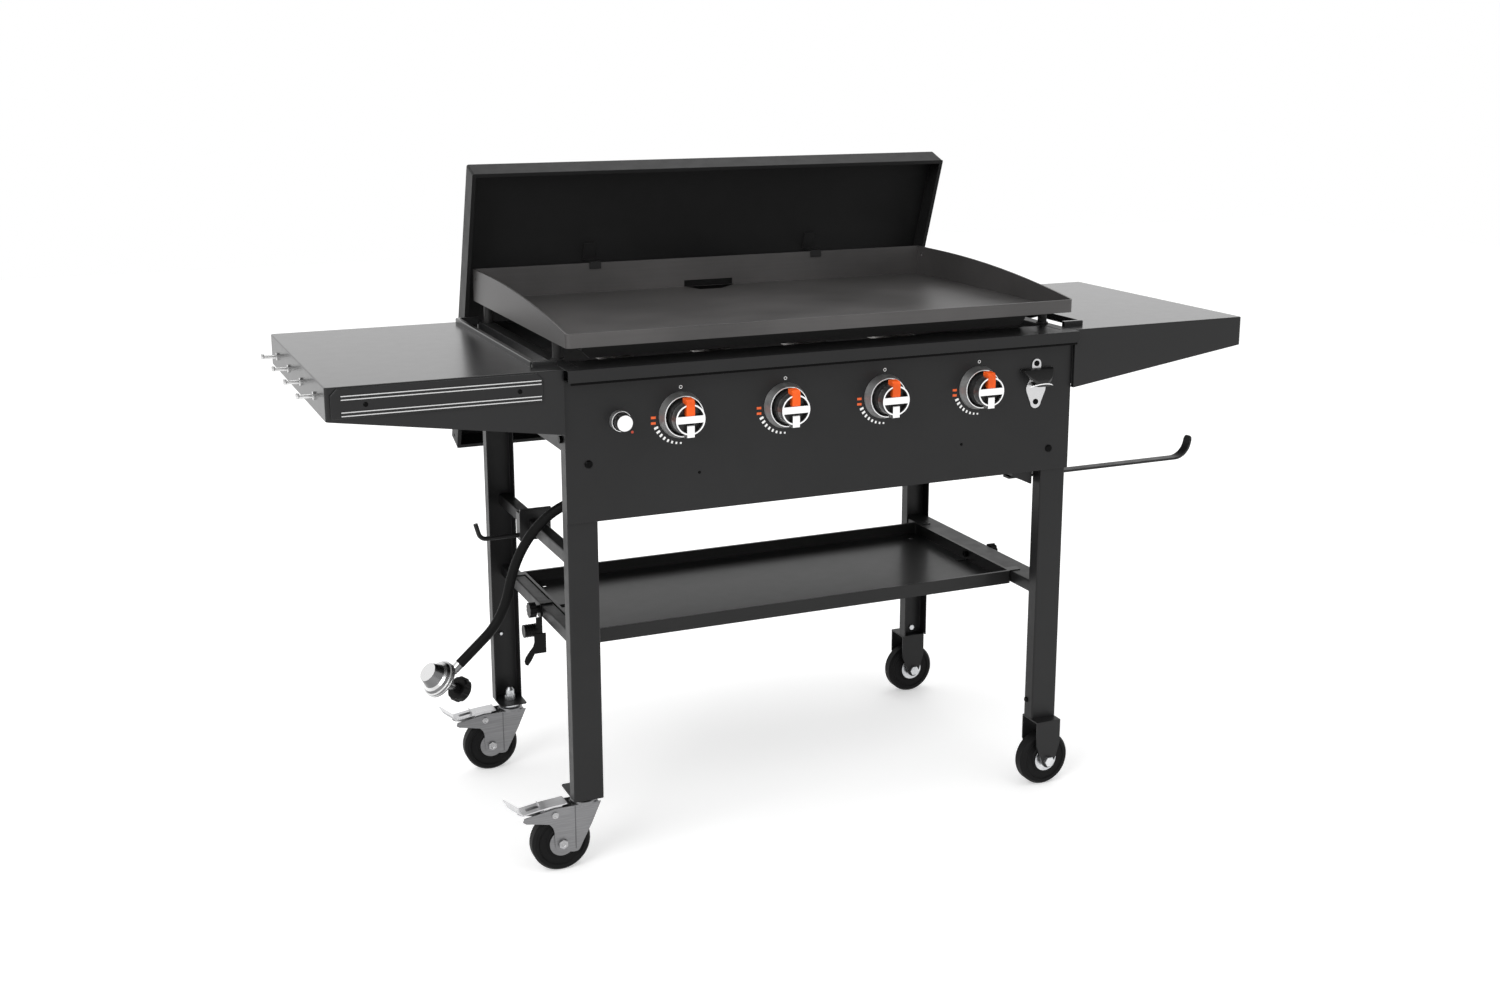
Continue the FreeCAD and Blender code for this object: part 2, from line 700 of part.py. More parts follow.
nodes["burners"] = burners()
nodes["burner_rails"] = burner_rails()


# Hose from the manifold elbow: it drops behind the left front leg, bends out to the left and
# hangs with the regulator at its end. The points were chosen one by one along the real route.
# They are written from the point where the elbow leaves the pipe.
elbow_x = 29.0 - leg_in
hose_route = [
    (0.0, 4.0, -23.0),
    (-0.4, 8.0, -46.0),
    (-5.0, 20.0, -69.0),
    (-15.5, 34.0, -95.5),
    (-39.0, 49.0, -118.0),
    (-73.0, 64.0, -138.0),
    (-101.0, 78.0, -170.0),
    (-122.0, 90.0, -209.0),
    (-136.0, 97.0, -252.0),
    (-145.0, 99.0, -296.0),
    (-166.0, 99.0, -334.0),
    (-196.5, 98.5, -361.5),
    (-226.5, 98.0, -388.0),
]
hose_points = [(elbow_x + x, pipe_y + y, pipe_z + z) for x, y, z in hose_route]
reg_c = V(elbow_x - 262.1, pipe_y + 98.0, pipe_z - 408.2)
reg_axis = V(-0.73, -0.245, 0.645)


# Gas line: a manifold pipe behind the front panel with four valves screwed on, and an elbow
# at its left end that takes the hose. A skirt on each valve seats on the back of the panel.
def manifold_pipe():
    half = leg_in - 20.0
    pipe = cyl(-half, pipe_y, pipe_z, pipe_r, 2 * half, X)
    turn = V(elbow_x, pipe_y, pipe_z)
    mouth = V(*hose_points[0])
    elbow = Part.makeCylinder(hose_d / 2 - 0.5, (mouth - turn).Length, turn, mouth - turn)
    return joined([pipe, elbow])


def gas_valves():
    out = []
    for x in knob_x:
        block = box(x - 11, x + 11, valve_y + 8, valve_y + valve_len, pipe_z + pipe_r - 1, knob_z + 12)
        nose = cyl(x, valve_y, knob_z, 9.0, 10, Y)
        jet = cyl(x, valve_y + valve_len, knob_z, 5.0, 14, Y)
        saddle = box(x - 11, x + 11, pipe_y - 12, pipe_y + 12, pipe_z - 4, pipe_z + pipe_r + 2)
        skirt = cyl(x, body_y + sheet, knob_z, 16.0, valve_y + 8 - body_y - sheet, Y)
        skirt = skirt.cut(cyl(x, body_y, knob_z, 13.0, valve_y + 8, Y))
        body = joined([block, nose, jet, saddle, skirt])
        body = body.cut(cyl(x - 20, pipe_y, pipe_z, pipe_r, 40, X))
        body = body.cut(cyl(x, valve_y - 1, knob_z, stem_r + shaft_gap, 26, Y))
        out.append(body)
    return Part.makeCompound(out)


nodes["manifold_pipe"] = manifold_pipe()
nodes["gas_valves"] = gas_valves()


# Valve stem: a round shaft with a collar, sprung outwards; pushing the knob moves it in.
def valve_stem(x):
    shaft = cyl(x, knob_front + 13, knob_z, stem_r, valve_y + 16 - knob_front - 13, Y)
    collar = cyl(x, body_y + 6, knob_z, 7.0, 3.0, Y)
    return joined([shaft, collar])


# Knob: a dark barrel that sits in the bezel, a bright trim of ring, grip bar and lower block,
# and an orange pointer that folds over the ring at the top.
def ring_trim(x):
    y0 = knob_front - 2.0
    ring = turned([(ring_r, y0), (ring_r + 1.5, y0 + ring_len), (ring_r - ring_w, y0 + ring_len),
                   (ring_r - ring_w, y0)], x, knob_z)
    bar = box(x - ring_r + 1, x + ring_r - 1, y0, y0 + 5, knob_z - bar_h / 2, knob_z + bar_h / 2)
    bar = bar.common(cyl(x, y0 - 1, knob_z, ring_r - 0.3, 8, Y))
    block = box(x - block_w / 2, x + block_w / 2, y0 - 0.5, y0 + ring_len, knob_z - block_r,
                knob_z - bar_h / 2 - 3)
    block = rounded(block, 2.5, lambda e: along(e, X) and e.CenterOfMass.y < y0)
    trim = joined([ring, bar, block])
    gap = box(x - pointer_w / 2, x + pointer_w / 2, y0 - 2, y0 + ring_len + 5, knob_z + bar_h / 2, knob_z + 40)
    return trim.cut(gap)


def pointer(x):
    y0 = knob_front - 2.0 - 1.0
    z0 = knob_z + bar_h / 2
    solid = yz_prism([(y0 + 1.5, z0), (y0, z0 + 2), (y0, knob_z + pointer_r - 4),
                      (y0 + 3.5, knob_z + pointer_r), (y0 + pointer_len, knob_z + pointer_r + 1),
                      (y0 + pointer_len, z0 + 4), (y0 + 6, z0)],
                     x - pointer_w / 2, x + pointer_w / 2)
    return solid


def knob_body(x, trim, mark):
    y0 = knob_front
    face = knob_tip_r
    solid = turned([(0, y0), (face - 1.5, y0), (face, y0 + 1), (knob_r, knob_back - 4), (knob_r, knob_back),
                    (knob_r - 3, knob_back), (knob_r - 3, knob_back - 14), (0, knob_back - 14)], x, knob_z)
    hub = cyl(x, y0 + 12, knob_z, 8.0, knob_back - y0 - 12, Y)
    solid = joined([solid, hub])
    # Finger recesses above and below the grip bar.
    well = cyl(x, y0 - 1, knob_z, ring_r - ring_w - 1.0, 9, Y)
    web = box(x - 40, x + 40, y0 - 2, y0 + 20, knob_z - bar_h / 2 + 0.5, knob_z + bar_h / 2 - 0.5)
    solid = solid.cut(well.cut(web))
    bore = cyl(x, y0 + 13 - run_gap, knob_z, stem_r + shaft_gap, 60, Y)
    return solid.cut(trim).cut(mark).cut(bore)


for i, x in enumerate(knob_x):
    trim = ring_trim(x)
    mark = pointer(x)
    nodes["valve_stem_%d" % (i + 1)] = valve_stem(x)
    nodes["knob_trim_%d" % (i + 1)] = trim
    nodes["knob_pointer_%d" % (i + 1)] = mark
    nodes["knob_%d" % (i + 1)] = knob_body(x, trim, mark)


# Bezels: bright flared rings on the panel, one round each knob and a small stepped one round
# the igniter button.
def panel_bezels():
    out = []
    y1 = body_y
    for x in knob_x:
        out.append(turned([(bezel_r, y1), (bezel_lip_r, y1 - bezel_h + 1.5), (bezel_lip_r - 1, y1 - bezel_h),
                           (bezel_in, y1 - bezel_h + 1), (bezel_in, y1)], x, knob_z))
    step = ig_bezel_r - 1.1
    bore = button_r + 0.8
    out.append(turned([(ig_bezel_r, y1), (ig_bezel_r - 0.4, y1 - 8), (step, y1 - 8), (step, y1 - 11),
                       (bore, y1 - 11), (bore, y1)], igniter_x, knob_z))
    return Part.makeCompound(out)


nodes["panel_bezels"] = panel_bezels()


# Igniter: a sprung push button in a module behind the panel.
def igniter_button():
    cap = turned([(0, button_front), (button_r - 1.2, button_front), (button_r, button_front + 1.2),
                  (button_r, body_y + 8), (6, body_y + 8), (6, body_y + 22), (0, body_y + 22)],
                 igniter_x, knob_z)
    return cap


def igniter_module():
    y0 = body_y + sheet
    x = igniter_x
    body = box(x - 19, x + 19, y0, y0 + 52, knob_z - 19, knob_z + 19)
    body = rounded(body, 4.0, lambda e: along(e, Y))
    body = body.cut(cyl(x, y0 - 1, knob_z, button_r + 0.7, 14, Y))
    body = body.cut(cyl(x, y0, knob_z, 6.7, 30, Y))
    return body


nodes["igniter_button"] = igniter_button()
nodes["igniter_module"] = igniter_module()


# Bottle opener: a pressed plate with an upper screw tab and a tapering lower lobe, and a hood
# that stands out above the lobe and ends in a rolled lip that catches the cap.
opener_x = body_half - 72.6
opener_screw = 34.0


def bottle_opener():
    x = opener_x
    z = knob_z
    y1 = body_y
    t = 2.0
    tab = joined([cyl(x, y1 - t, z + 33, 9.0, t, Y), box(x - 9, x + 9, y1 - t, y1, z + 6, z + 33)])
    lobe = xz_prism([(x - 20, z - 8), (x - 12, z + 8), (x + 12, z + 8), (x + 20, z - 8), (x + 19, z - 15),
                     (x + 9.5, z - 38), (x - 9.5, z - 38), (x - 19, z - 15)], y1 - t, y1)
    toe = cyl(x, y1 - t, z - 35, 10.5, t, Y)
    base = joined([tab, lobe, toe])
    base = base.cut(cyl(x, y1 - t - 1, z + opener_screw, 3.6, t + 2, Y))
    base = base.cut(cyl(x, y1 - t - 1, z - opener_screw, 3.6, t + 2, Y))
    # Hood: a bent strip seen from the side, trimmed round in plan.
    side = yz_prism([(y1 - t, z + 26), (y1 - t - 8, z + 24), (-20, z + 8), (-23, z + 3), (-23, z - 3),
                     (-20.5, z - 3), (-20.5, z + 2), (-18, z + 5.5), (y1 - t - 8, z + 21), (y1 - t, z + 22.5)],
                    x - 34, x + 34)
    plan = Part.makeCylinder(33.0, 90, V(x, 10, z - 40), Z)
    hood = side.common(plan)
    catch = yz_prism([(y1 - t, z + 2), (y1 - t - 9, z - 3), (y1 - t - 9, z - 5.5), (y1 - t, z - 4)], x - 11, x + 11)
    return joined([base, hood, catch])


nodes["bottle_opener"] = bottle_opener()


# Paper towel rod: a round bar along X behind the right leg, its free end bent up, welded to an
# angle bracket under the front panel.
towel_y = 46.0
towel_z = panel_low - 17.0
towel_r = 4.5
towel_in = 50.0
towel_len = 393.0
towel_rise = 41.0


def arc_path(points, radii):
    # Straight runs joined by tangent arcs: returns the wire and its length.
    pts = [V(*p) for p in points]
    edges = []
    start = pts[0]
    total = 0.0
    for i in range(1, len(pts) - 1):
        a = (pts[i - 1] - pts[i]).normalize()
        b = (pts[i + 1] - pts[i]).normalize()
        half = a.getAngle(b) / 2
        r = radii[i - 1]
        cut = r / math.tan(half)
        p = pts[i] + a * cut
        q = pts[i] + b * cut
        centre = pts[i] + (a + b).normalize() * (r / math.sin(half))
        m = centre + (pts[i] - centre).normalize() * r
        edges.append(Part.LineSegment(start, p).toShape())
        edges.append(Part.Arc(p, m, q).toShape())
        total += (p - start).Length + r * (math.pi - 2 * half)
        start = q
    edges.append(Part.LineSegment(start, pts[-1]).toShape())
    total += (pts[-1] - start).Length
    return Part.Wire(edges), total


def round_bar(points, radii, r):
    wire, total = arc_path(points, radii)
    first = V(*points[0])
    ring = Part.Wire([Part.Circle(first, V(*points[1]) - first, r).toShape()])
    return wire.makePipeShell([ring], True, False), total


def towel_holder():
    x0 = leg_in - towel_in
    x1 = x0 + 40.0
    tip = x0 + towel_len
    rod, total = round_bar([(x0 + 1, towel_y, towel_z), (tip - 23, towel_y, towel_z + 4),
                            (tip, towel_y, towel_z + towel_rise)], [26.0], towel_r)
    t = 2.5
    top = box(x0, x1, body_y + 2 * sheet + 0.2, towel_y + 16, panel_low - t, panel_low)
    down = box(x0, x0 + t, towel_y - 14, towel_y + 14, towel_z - 13, panel_low - t)
    down2 = box(x1 - t, x1, towel_y - 14, towel_y + 14, towel_z - 13, panel_low - t)
    return joined([rod, top, down, down2])


nodes["towel_holder"] = towel_holder()


# Tank hanger: a folded clip over the upper crossbar, with a rod hook for the gas bottle's
# collar that points away from the station and turns up at its end.
hanger_y = 321.0
hanger_rod_z = bar_z - 6.0


def tank_hanger():
    t = 2.5
    xm = -leg_in - leg_sheet - bar_w / 2
    x0 = xm - 28
    x1 = xm + 28
    z0 = bar_z - 14
    z1 = bar_z + bar_w + 21
    front = box(x0, x1, hanger_y, hanger_y + t, z0, z1)
    rear = box(x0, x1, hanger_y + 20, hanger_y + 20 + t, z0, z1 - 8)
    lip = box(x0, x1, hanger_y - 5, hanger_y, z1 - t, z1)
    notch = box(xm - bar_w / 2, xm + bar_w / 2, hanger_y - 1, hanger_y + 30, bar_z, bar_z + bar_w)
    left = box(x0, x0 + t, hanger_y + t, hanger_y + 20, z0, z1 - 8)
    top = box(x0, x1, hanger_y + t, hanger_y + 20, bar_z + bar_w, bar_z + bar_w + t)
    clip = joined([front, rear, lip, left, top]).cut(notch)
    y = hanger_y + 11
    rod, total = round_bar([(xm + 14, y, hanger_rod_z), (xm - 96, y, hanger_rod_z),
                            (xm - 104, y, hanger_rod_z + 28.5)], [14.0], 4.0)
    return joined([clip, rod])


nodes["tank_hanger"] = tank_hanger()


# Tank steady on the lower left crossbar: a strap that hooks over the bar and is held by a thumb
# screw, a plate below it, a ribbed pad that bears against the bottle and a leaf lever.
steady_x = -leg_in - leg_sheet - bar_w


def tank_steady():
    t = 2.5
    yc = steady_y
    top = low_bar_z + low_bar_h
    x = steady_x - t
    cheek = box(x, steady_x, yc - 9.5, yc + 9.5, low_bar_z - 4, top)
    over = box(x, steady_x + 20, yc - 8, yc + 8, top, top + t)
    cheek = joined([cheek, over])
    cheek = cheek.cut(cyl(x - 1, yc, screw_z, screw_r + shaft_gap, t + 2, X))
    strap = box(x - 8.5, x + t, yc - 10, yc - 7.5, low_bar_z - 31, low_bar_z - 1)
    plate = box(x - 13, x + 8, yc - 11.5, yc - 9.5, low_bar_z - 66, low_bar_z - 30)
    axis_z = low_bar_z - 26
    pad = cyl(x - 29, yc, axis_z, 11.5, 23, X)
    grooves = []
    for i in range(4):
        ring = cyl(x - 26.5 + i * 5.0, yc, axis_z, 13.0, 2.2, X)
        grooves.append(ring.cut(cyl(x - 27 + i * 5.0, yc, axis_z, 10.2, 5, X)))
    pad = pad.cut(Part.makeCompound(grooves))
    leaf_pts = [(x - 12, low_bar_z - 42), (x - 15.5, low_bar_z - 53), (x - 22, low_bar_z - 60.5),
                (x - 29, low_bar_z - 70), (x - 31.7, low_bar_z - 77.5), (x - 30, low_bar_z - 83.7),
                (x - 25.5, low_bar_z - 85.7), (x - 19, low_bar_z - 77), (x - 12, low_bar_z - 64)]
    leaf = xz_prism(leaf_pts, yc - 11.5, yc - 9.5)
    return joined([cheek, strap, plate, pad, leaf])


def thumb_knob(x, yc, side, reach, neck):
    # A fluted disc on a neck outside x, with a screw that runs inwards by reach; side is -1 or 1.
    z = screw_z
    out = V(side, 0, 0)
    disc = cyl(x + side * (run_gap + neck), yc, z, 13.5, 12, out)
    cuts = []
    for i in range(10):
        a = 2 * math.pi * i / 10
        cuts.append(cyl(x, yc + 14.6 * math.cos(a), z + 14.6 * math.sin(a), 2.6, 24, out))
    disc = disc.cut(Part.makeCompound(cuts))
    hub = cyl(x + side * run_gap, yc, z, 7.0, neck + 2, out)
    screw = cyl(x + side * run_gap, yc, z, screw_r, reach + run_gap, -out)
    return joined([disc, hub, screw])


nut_h = 6.0
nodes["tank_steady"] = tank_steady()
steady_out = steady_x - 2.5
nodes["steady_knob"] = thumb_knob(steady_out, steady_y, -1, -steady_out - tray_half + 24.0, 6.5)
bar_out = leg_half - leg_sheet
nodes["tray_knob"] = thumb_knob(bar_out, tray_knob_y, 1, bar_out - tray_half + sheet + nut_h - 1.0, 1.0)


def hexagon(x, y, z, across, h, axis):
    # A hexagon head; axis is the way that it stands out.
    r = across / math.sqrt(3)
    pts = []
    for i in range(7):
        a = math.pi / 3 * i
        if abs(axis.x) > 0.5:
            pts.append(V(x, y + r * math.cos(a), z + r * math.sin(a)))
        elif abs(axis.y) > 0.5:
            pts.append(V(x + r * math.cos(a), y, z + r * math.sin(a)))
        else:
            pts.append(V(x + r * math.cos(a), y + r * math.sin(a), z))
    return Part.Face(Part.makePolygon(pts)).extrude(axis * h)


# Wheels: solid hard rubber with rounded shoulders, a raised side ring and a plain bore.
def wheel(x, y):
    h = wheel_w / 2
    r = wheel_r
    prof = [(axle_r + wheel_gap, -h), (guard_r + 3, -h), (guard_r + 5, -h + 2.5), (r - 12, -h + 2.5),
            (r - 10, -h + 0.5), (r - 4, -h + 1.0), (r, -h + 6), (r, h - 6), (r - 4, h - 1.0),
            (r - 10, h - 0.5), (r - 12, h - 2.5), (guard_r + 5, h - 2.5), (guard_r + 3, h), (axle_r + wheel_gap, h)]
    return turned(prof, x, wheel_r, y)


nodes["wheel_left_front"] = wheel(left_wheel_x, pivot_front_y)
nodes["wheel_left_rear"] = wheel(left_wheel_x, pivot_rear_y)
nodes["wheel_right_front"] = wheel(right_wheel_x, right_front_y)
nodes["wheel_right_rear"] = wheel(right_wheel_x, right_rear_y)


# Swivel fork: two pressed cheeks under a round head. The cheeks narrow to the axle and run out
# behind the wheel to carry the pedal. A thin round guard lies inside each cheek at the axle.
rivet_x = pivot_x - 53.8
rivet_z = 102.2
rivet_r = 3.0


def from_pivot(points):
    return [(pivot_x + x, z) for x, z in points]


def caster_fork(py):
    t = fork_sheet
    g = fork_gap / 2
    cheek_pts = from_pivot([(-108, 99), (-106, 105), (-54, fork_top), (25, fork_top), (9, 78), (-13.5, 35),
                            (-17, 32.5), (-24, 32), (-34, 34), (-46, 36.5), (-52, 40.5), (-55, 46), (-56, 73),
                            (-58, 80), (-64, 87.5), (-83, 91.5), (-103, 95.5)])
    cheeks = []
    for y in (py - g - t, py + g):
        cheek = xz_prism(cheek_pts, y, y + t)
        guard = cyl(left_wheel_x, y + t if y < py else y - 1, wheel_r, guard_r, 1.0, Y)
        cheek = joined([cheek, guard])
        cheek = cheek.cut(cyl(left_wheel_x, y - 2, wheel_r, axle_r, t + 4, Y))
        cheek = cheek.cut(cyl(rivet_x, y - 1, rivet_z, rivet_r, t + 2, Y))
        cheeks.append(cheek)
    head = box(pivot_x - 22, pivot_x + 23, py - g, py + g, fork_top - 4, fork_top - 2)
    dome = cyl(pivot_x, py, fork_top - 4, 22.0, 9.0, Z)
    dome = dome.makeFillet(3.0, [e for e in dome.Edges if e.CenterOfMass.z > fork_top + 4.9])
    head = joined([head, dome])
    head = head.cut(cyl(pivot_x, py, fork_top - 10, pin_r + shaft_gap, 40, Z))
    axle = cyl(left_wheel_x, py - g - t - 1, wheel_r, axle_r, fork_gap + 2 * t + 2, Y)
    bolt = hexagon(left_wheel_x, py - g - t, wheel_r, 14.0, 4.0, V(0, -1, 0))
    nut = hexagon(left_wheel_x, py + g + t, wheel_r, 14.0, 5.0, Y)
    rivet = cyl(rivet_x, py - g - t - 1.2, rivet_z, rivet_r, fork_gap + 2 * t + 2.4, Y)
    head_f = cyl(rivet_x, py - g - t - 1.5, rivet_z, rivet_r + 2.0, 1.5, Y)
    head_b = cyl(rivet_x, py + g + t, rivet_z, rivet_r + 2.0, 1.5, Y)
    return joined([cheeks[0], cheeks[1], head, axle, bolt, nut, rivet, head_f, head_b])


nodes["caster_fork_front"] = caster_fork(pivot_front_y)
nodes["caster_fork_rear"] = caster_fork(pivot_rear_y)


# Brake pedal: a pressed plate between the cheeks, turned up at its toe, with a slot, two ears
# round the rivet and a brake shoe over the tread.
def brake_pedal(py):
    w = fork_gap / 2 - 1.0
    t = 2.0
    side = from_pivot([(-132.5, 129), (-131.5, 131), (-106.5, 110.8), (-67, 116.5), (-32, 119), (-32, 117),
                       (-66.8, 114.5), (-108, 108.5)])
    plate = xz_prism(side, py - w, py + w)
    slot = box(pivot_x - 99, pivot_x - 77, py - 5, py + 5, 100, 125)
    plate = plate.cut(slot)
    # The tongue that was cut free for the slot stands up at its end.
    tongue = xz_prism(from_pivot([(-77.5, 113.5), (-80, 122.5), (-78.3, 123), (-75, 115)]), py - 5, py + 5)
    shoe = xz_prism(from_pivot([(-72, 115), (-61, 115.5), (-63, 100), (-71, 98)]), py - w, py + w)
    ears = []
    for y in (py - w, py + w - t):
        ear = xz_prism(from_pivot([(-70, 115.5), (-40, 117.5), (-46, 97.3), (-61, 97.3)]), y, y + t)
        ears.append(ear)
    pedal = joined([plate, tongue, shoe] + ears)
    return pedal.cut(cyl(rivet_x, py - w - 1, rivet_z, rivet_r + shaft_gap, 2 * w + 2, Y))


nodes["brake_pedal_front"] = brake_pedal(pivot_front_y)
nodes["brake_pedal_rear"] = brake_pedal(pivot_rear_y)


# Fixed wheel brackets under the right legs: a sheet folded to a narrow upside-down U whose
# cheeks taper to a round end at the axle.
def wheel_bracket(yc):
    t = bracket_t
    x0 = leg_in - 0.5
    x1 = leg_half - 1.5
    top = box(x0, x1, yc - bracket_half, yc + bracket_half, leg_low - t, leg_low)
    xa = right_wheel_x
    cheek = xz_prism([(x0, leg_low - t), (x1, leg_low - t), (x1, 82), (xa + 13, wheel_r), (xa - 13, wheel_r),
                      (x0, 82)], yc - bracket_half, yc - bracket_half + t)
    toe = cyl(xa, yc - bracket_half, wheel_r, 13.0, t, Y)
    cheek = joined([cheek, toe]).cut(cyl(xa, yc - bracket_half - 1, wheel_r, axle_r, t + 2, Y))
    rear = cheek.translated(V(0, 2 * bracket_half - t, 0))
    return joined([top, cheek, rear])


nodes["wheel_brackets"] = Part.makeCompound([wheel_bracket(right_front_y), wheel_bracket(right_rear_y)])


def dome_head(x, y, z, r, h, axis):
    low = Part.makeCylinder(r, h * 0.5, V(x, y, z), axis)
    high = Part.makeCone(r, r * 0.7, h * 0.5, V(x, y, z) + axis * (h * 0.5), axis)
    return joined([low, high])


# Pins and bright nuts: the right wheels' axle bolts with guard discs and spacers, the left
# casters' king pins with bearing collars and cap nuts on the foot plates, a bolt end inside the
# left rear leg and a nut inside the right rear leg.
def wheel_pins():
    out = []
    for yc in (right_front_y, right_rear_y):
        y0 = yc - bracket_half
        y1 = yc + bracket_half
        rod = cyl(right_wheel_x, y0 - 1, wheel_r, axle_r, y1 - y0 + 9, Y)
        head = hexagon(right_wheel_x, y0, wheel_r, 17.0, 6.0, V(0, -1, 0))
        nut = hexagon(right_wheel_x, y1, wheel_r, 17.0, 7.0, Y)
        gap = run_gap
        h = wheel_w / 2
        disc_f = cyl(right_wheel_x, yc - h - gap - 1.5, wheel_r, guard_r, 1.5, Y)
        space_f = cyl(right_wheel_x, y0 + bracket_t, wheel_r, 9.0, bracket_half - bracket_t - h - gap, Y)
        disc_b = cyl(right_wheel_x, yc + h + gap, wheel_r, guard_r, 1.5, Y)
        space_b = cyl(right_wheel_x, yc + h + gap, wheel_r, 9.0, bracket_half - bracket_t - h - gap, Y)
        out.append(joined([rod, head, nut, disc_f, space_f, disc_b, space_b]))
    for py in (pivot_front_y, pivot_rear_y):
        pin = cyl(pivot_x, py, fork_top - 11, pin_r, leg_low + foot_t - fork_top + 11 + 4, Z)
        head = cyl(pivot_x, py, fork_top - 11, 10.0, 11 - 4 - run_gap, Z)
        collar = cyl(pivot_x, py, fork_top + 5 + run_gap, 17.0, leg_low - fork_top - 5 - run_gap, Z)
        foot = leg_low + foot_t
        nut = hexagon(pivot_x, py, foot, 17.5, 9.0, Z)
        cap = cyl(pivot_x, py, foot + 9.0, 8.2, 10.0, Z)
        dome = Part.makeCone(8.2, 4.0, 5.5, V(pivot_x, py, foot + 19.0), Z)
        out.append(joined([pin, head, collar, nut, cap, dome]))
    web = leg_rear - leg_sheet
    south = V(0, -1, 0)
    out.append(dome_head(20.0 - leg_half, web, 252.8, 4.0, 5.0, south))
    out.append(hexagon(right_wheel_x + 1.5, web, leg_low + 12.0, 10.0, 4.0, south))
    return Part.makeCompound(out)


nodes["wheel_pins"] = wheel_pins()


# Cover: a shallow pan with welded corners, leaning forward, open to the front. Its own frame
# has x along the station, s up the panel and d out of the panel.
def lid_point(x, s, d):
    return V(x, lid_ref_y - s * math.sin(tilt) - d * math.cos(tilt),
             lid_ref_z + s * math.cos(tilt) - d * math.sin(tilt))


def lid_block(x0, x1, s0, s1, d0, d1):
    corners = [lid_point(x0, s0, d0), lid_point(x0, s1, d0), lid_point(x0, s1, d1), lid_point(x0, s0, d1)]
    face = Part.Face(Part.makePolygon(corners + [corners[0]]))
    return face.extrude(V(x1 - x0, 0, 0))


def lid_shell():
    t = lid_sheet
    outer = lid_block(-lid_half, lid_half, -lid_down, lid_up, 0, lid_depth)
    edges = []
    for e in outer.Edges:
        c = e.CenterOfMass
        d = (lid_ref_y - c.y) * math.cos(tilt) + (lid_ref_z - c.z) * math.sin(tilt)
        if d < lid_depth - 1:
            edges.append(e)
    outer = outer.makeFillet(lid_edge_r, edges)
    inner = lid_block(-lid_half + t, lid_half - t, -lid_down + t, lid_up - t, t, lid_depth + 5)
    shell = outer.cut(inner)
    # A narrow hem turned in round the open rim.
    rim = lid_block(-lid_half + 0.5, lid_half - 0.5, -lid_down + 0.5, lid_up - 0.5, lid_depth - t, lid_depth)
    hole = lid_block(-lid_half + 7, lid_half - 7, -lid_down + 7, lid_up - 7, lid_depth - 5, lid_depth + 5)
    shell = joined([shell, rim.cut(hole)])
    eye = lid_point(-lid_half - 1, -lid_down + 16, lid_depth / 2)
    return shell.cut(Part.makeCylinder(3.0, 10, eye, X))


# Hooks: bent straps riveted inside the pan. Each passes over the plate's rear wall and drops a
# short leg in front of it and a longer one behind it, which keeps the cover's lean.
def lid_hooks():
    t = hook_t
    g = run_gap
    wall_in = plate_d - plate_steel
    top = wall_top + g
    s = (top + t - lid_ref_z + lid_sheet * math.sin(tilt)) / math.cos(tilt)
    pan = lid_point(0, s, lid_sheet)
    far = lid_point(0, s + 34, lid_sheet)
    far_in = lid_point(0, s + 34, lid_sheet + t)
    near_in = lid_point(0, s + 2, lid_sheet + t)
    low = lid_point(0, s - t / math.cos(tilt), lid_sheet)
    out = []
    for x in (-hook_x, hook_x):
        arm = yz_prism([(wall_in - g - t, top + t), (wall_in - g - t, wall_top - hook_front),
                        (wall_in - g, wall_top - hook_front), (wall_in - g, top), (plate_d + g, top),
                        (plate_d + g, wall_top - hook_back), (plate_d + g + t, wall_top - hook_back),
                        (plate_d + g + t, top), (low.y, top), (pan.y, pan.z), (far.y, far.z),
                        (far_in.y, far_in.z), (near_in.y - 1.0, top + t)], x - hook_w / 2, x + hook_w / 2)
        out.append(arm)
    return Part.makeCompound(out)


nodes["lid_shell"] = lid_shell()
nodes["lid_hooks"] = lid_hooks()


def hose():
    pts = [V(*p) for p in hose_points]
    radii = []
    for i in range(1, len(pts) - 1):
        a = pts[i] - pts[i - 1]
        b = pts[i + 1] - pts[i]
        turn = a.getAngle(b)
        run = min(a.Length, b.Length)
        radii.append(0.45 * run / math.tan(turn / 2))
    tube, total = round_bar(hose_points, radii, hose_d / 2)
    print("hose radii", " ".join("%.0f" % r for r in radii))
    print("hose length %.1f, volume over section %.1f" % (total, tube.Volume / (math.pi * hose_d ** 2 / 4)))
    return tube


nodes["gas_hose"] = hose()


# Regulator: a domed two-part housing with a clamping flange, a hose ferrule and a short inlet
# barrel that carries the hand wheel.
reg_axis.normalize()
port_c = reg_c - reg_axis * 12.0
hand_c = V(elbow_x - 226.0, pipe_y + 113.0, pipe_z - 436.7)


def placed(shape, base, way):
    # A shape made round the Z axis, moved so that Z points along a way from a base point.
    shape.Placement = FreeCAD.Placement(base, FreeCAD.Rotation(Z, way))
    return shape


def spun(profile):
    # A profile of (radius, z) pairs turned about Z.
    wire = Part.makePolygon([V(r, 0, z) for r, z in profile] + [V(profile[0][0], 0, profile[0][1])])
    return Part.Face(wire).revolve(V(0, 0, 0), Z, 360)


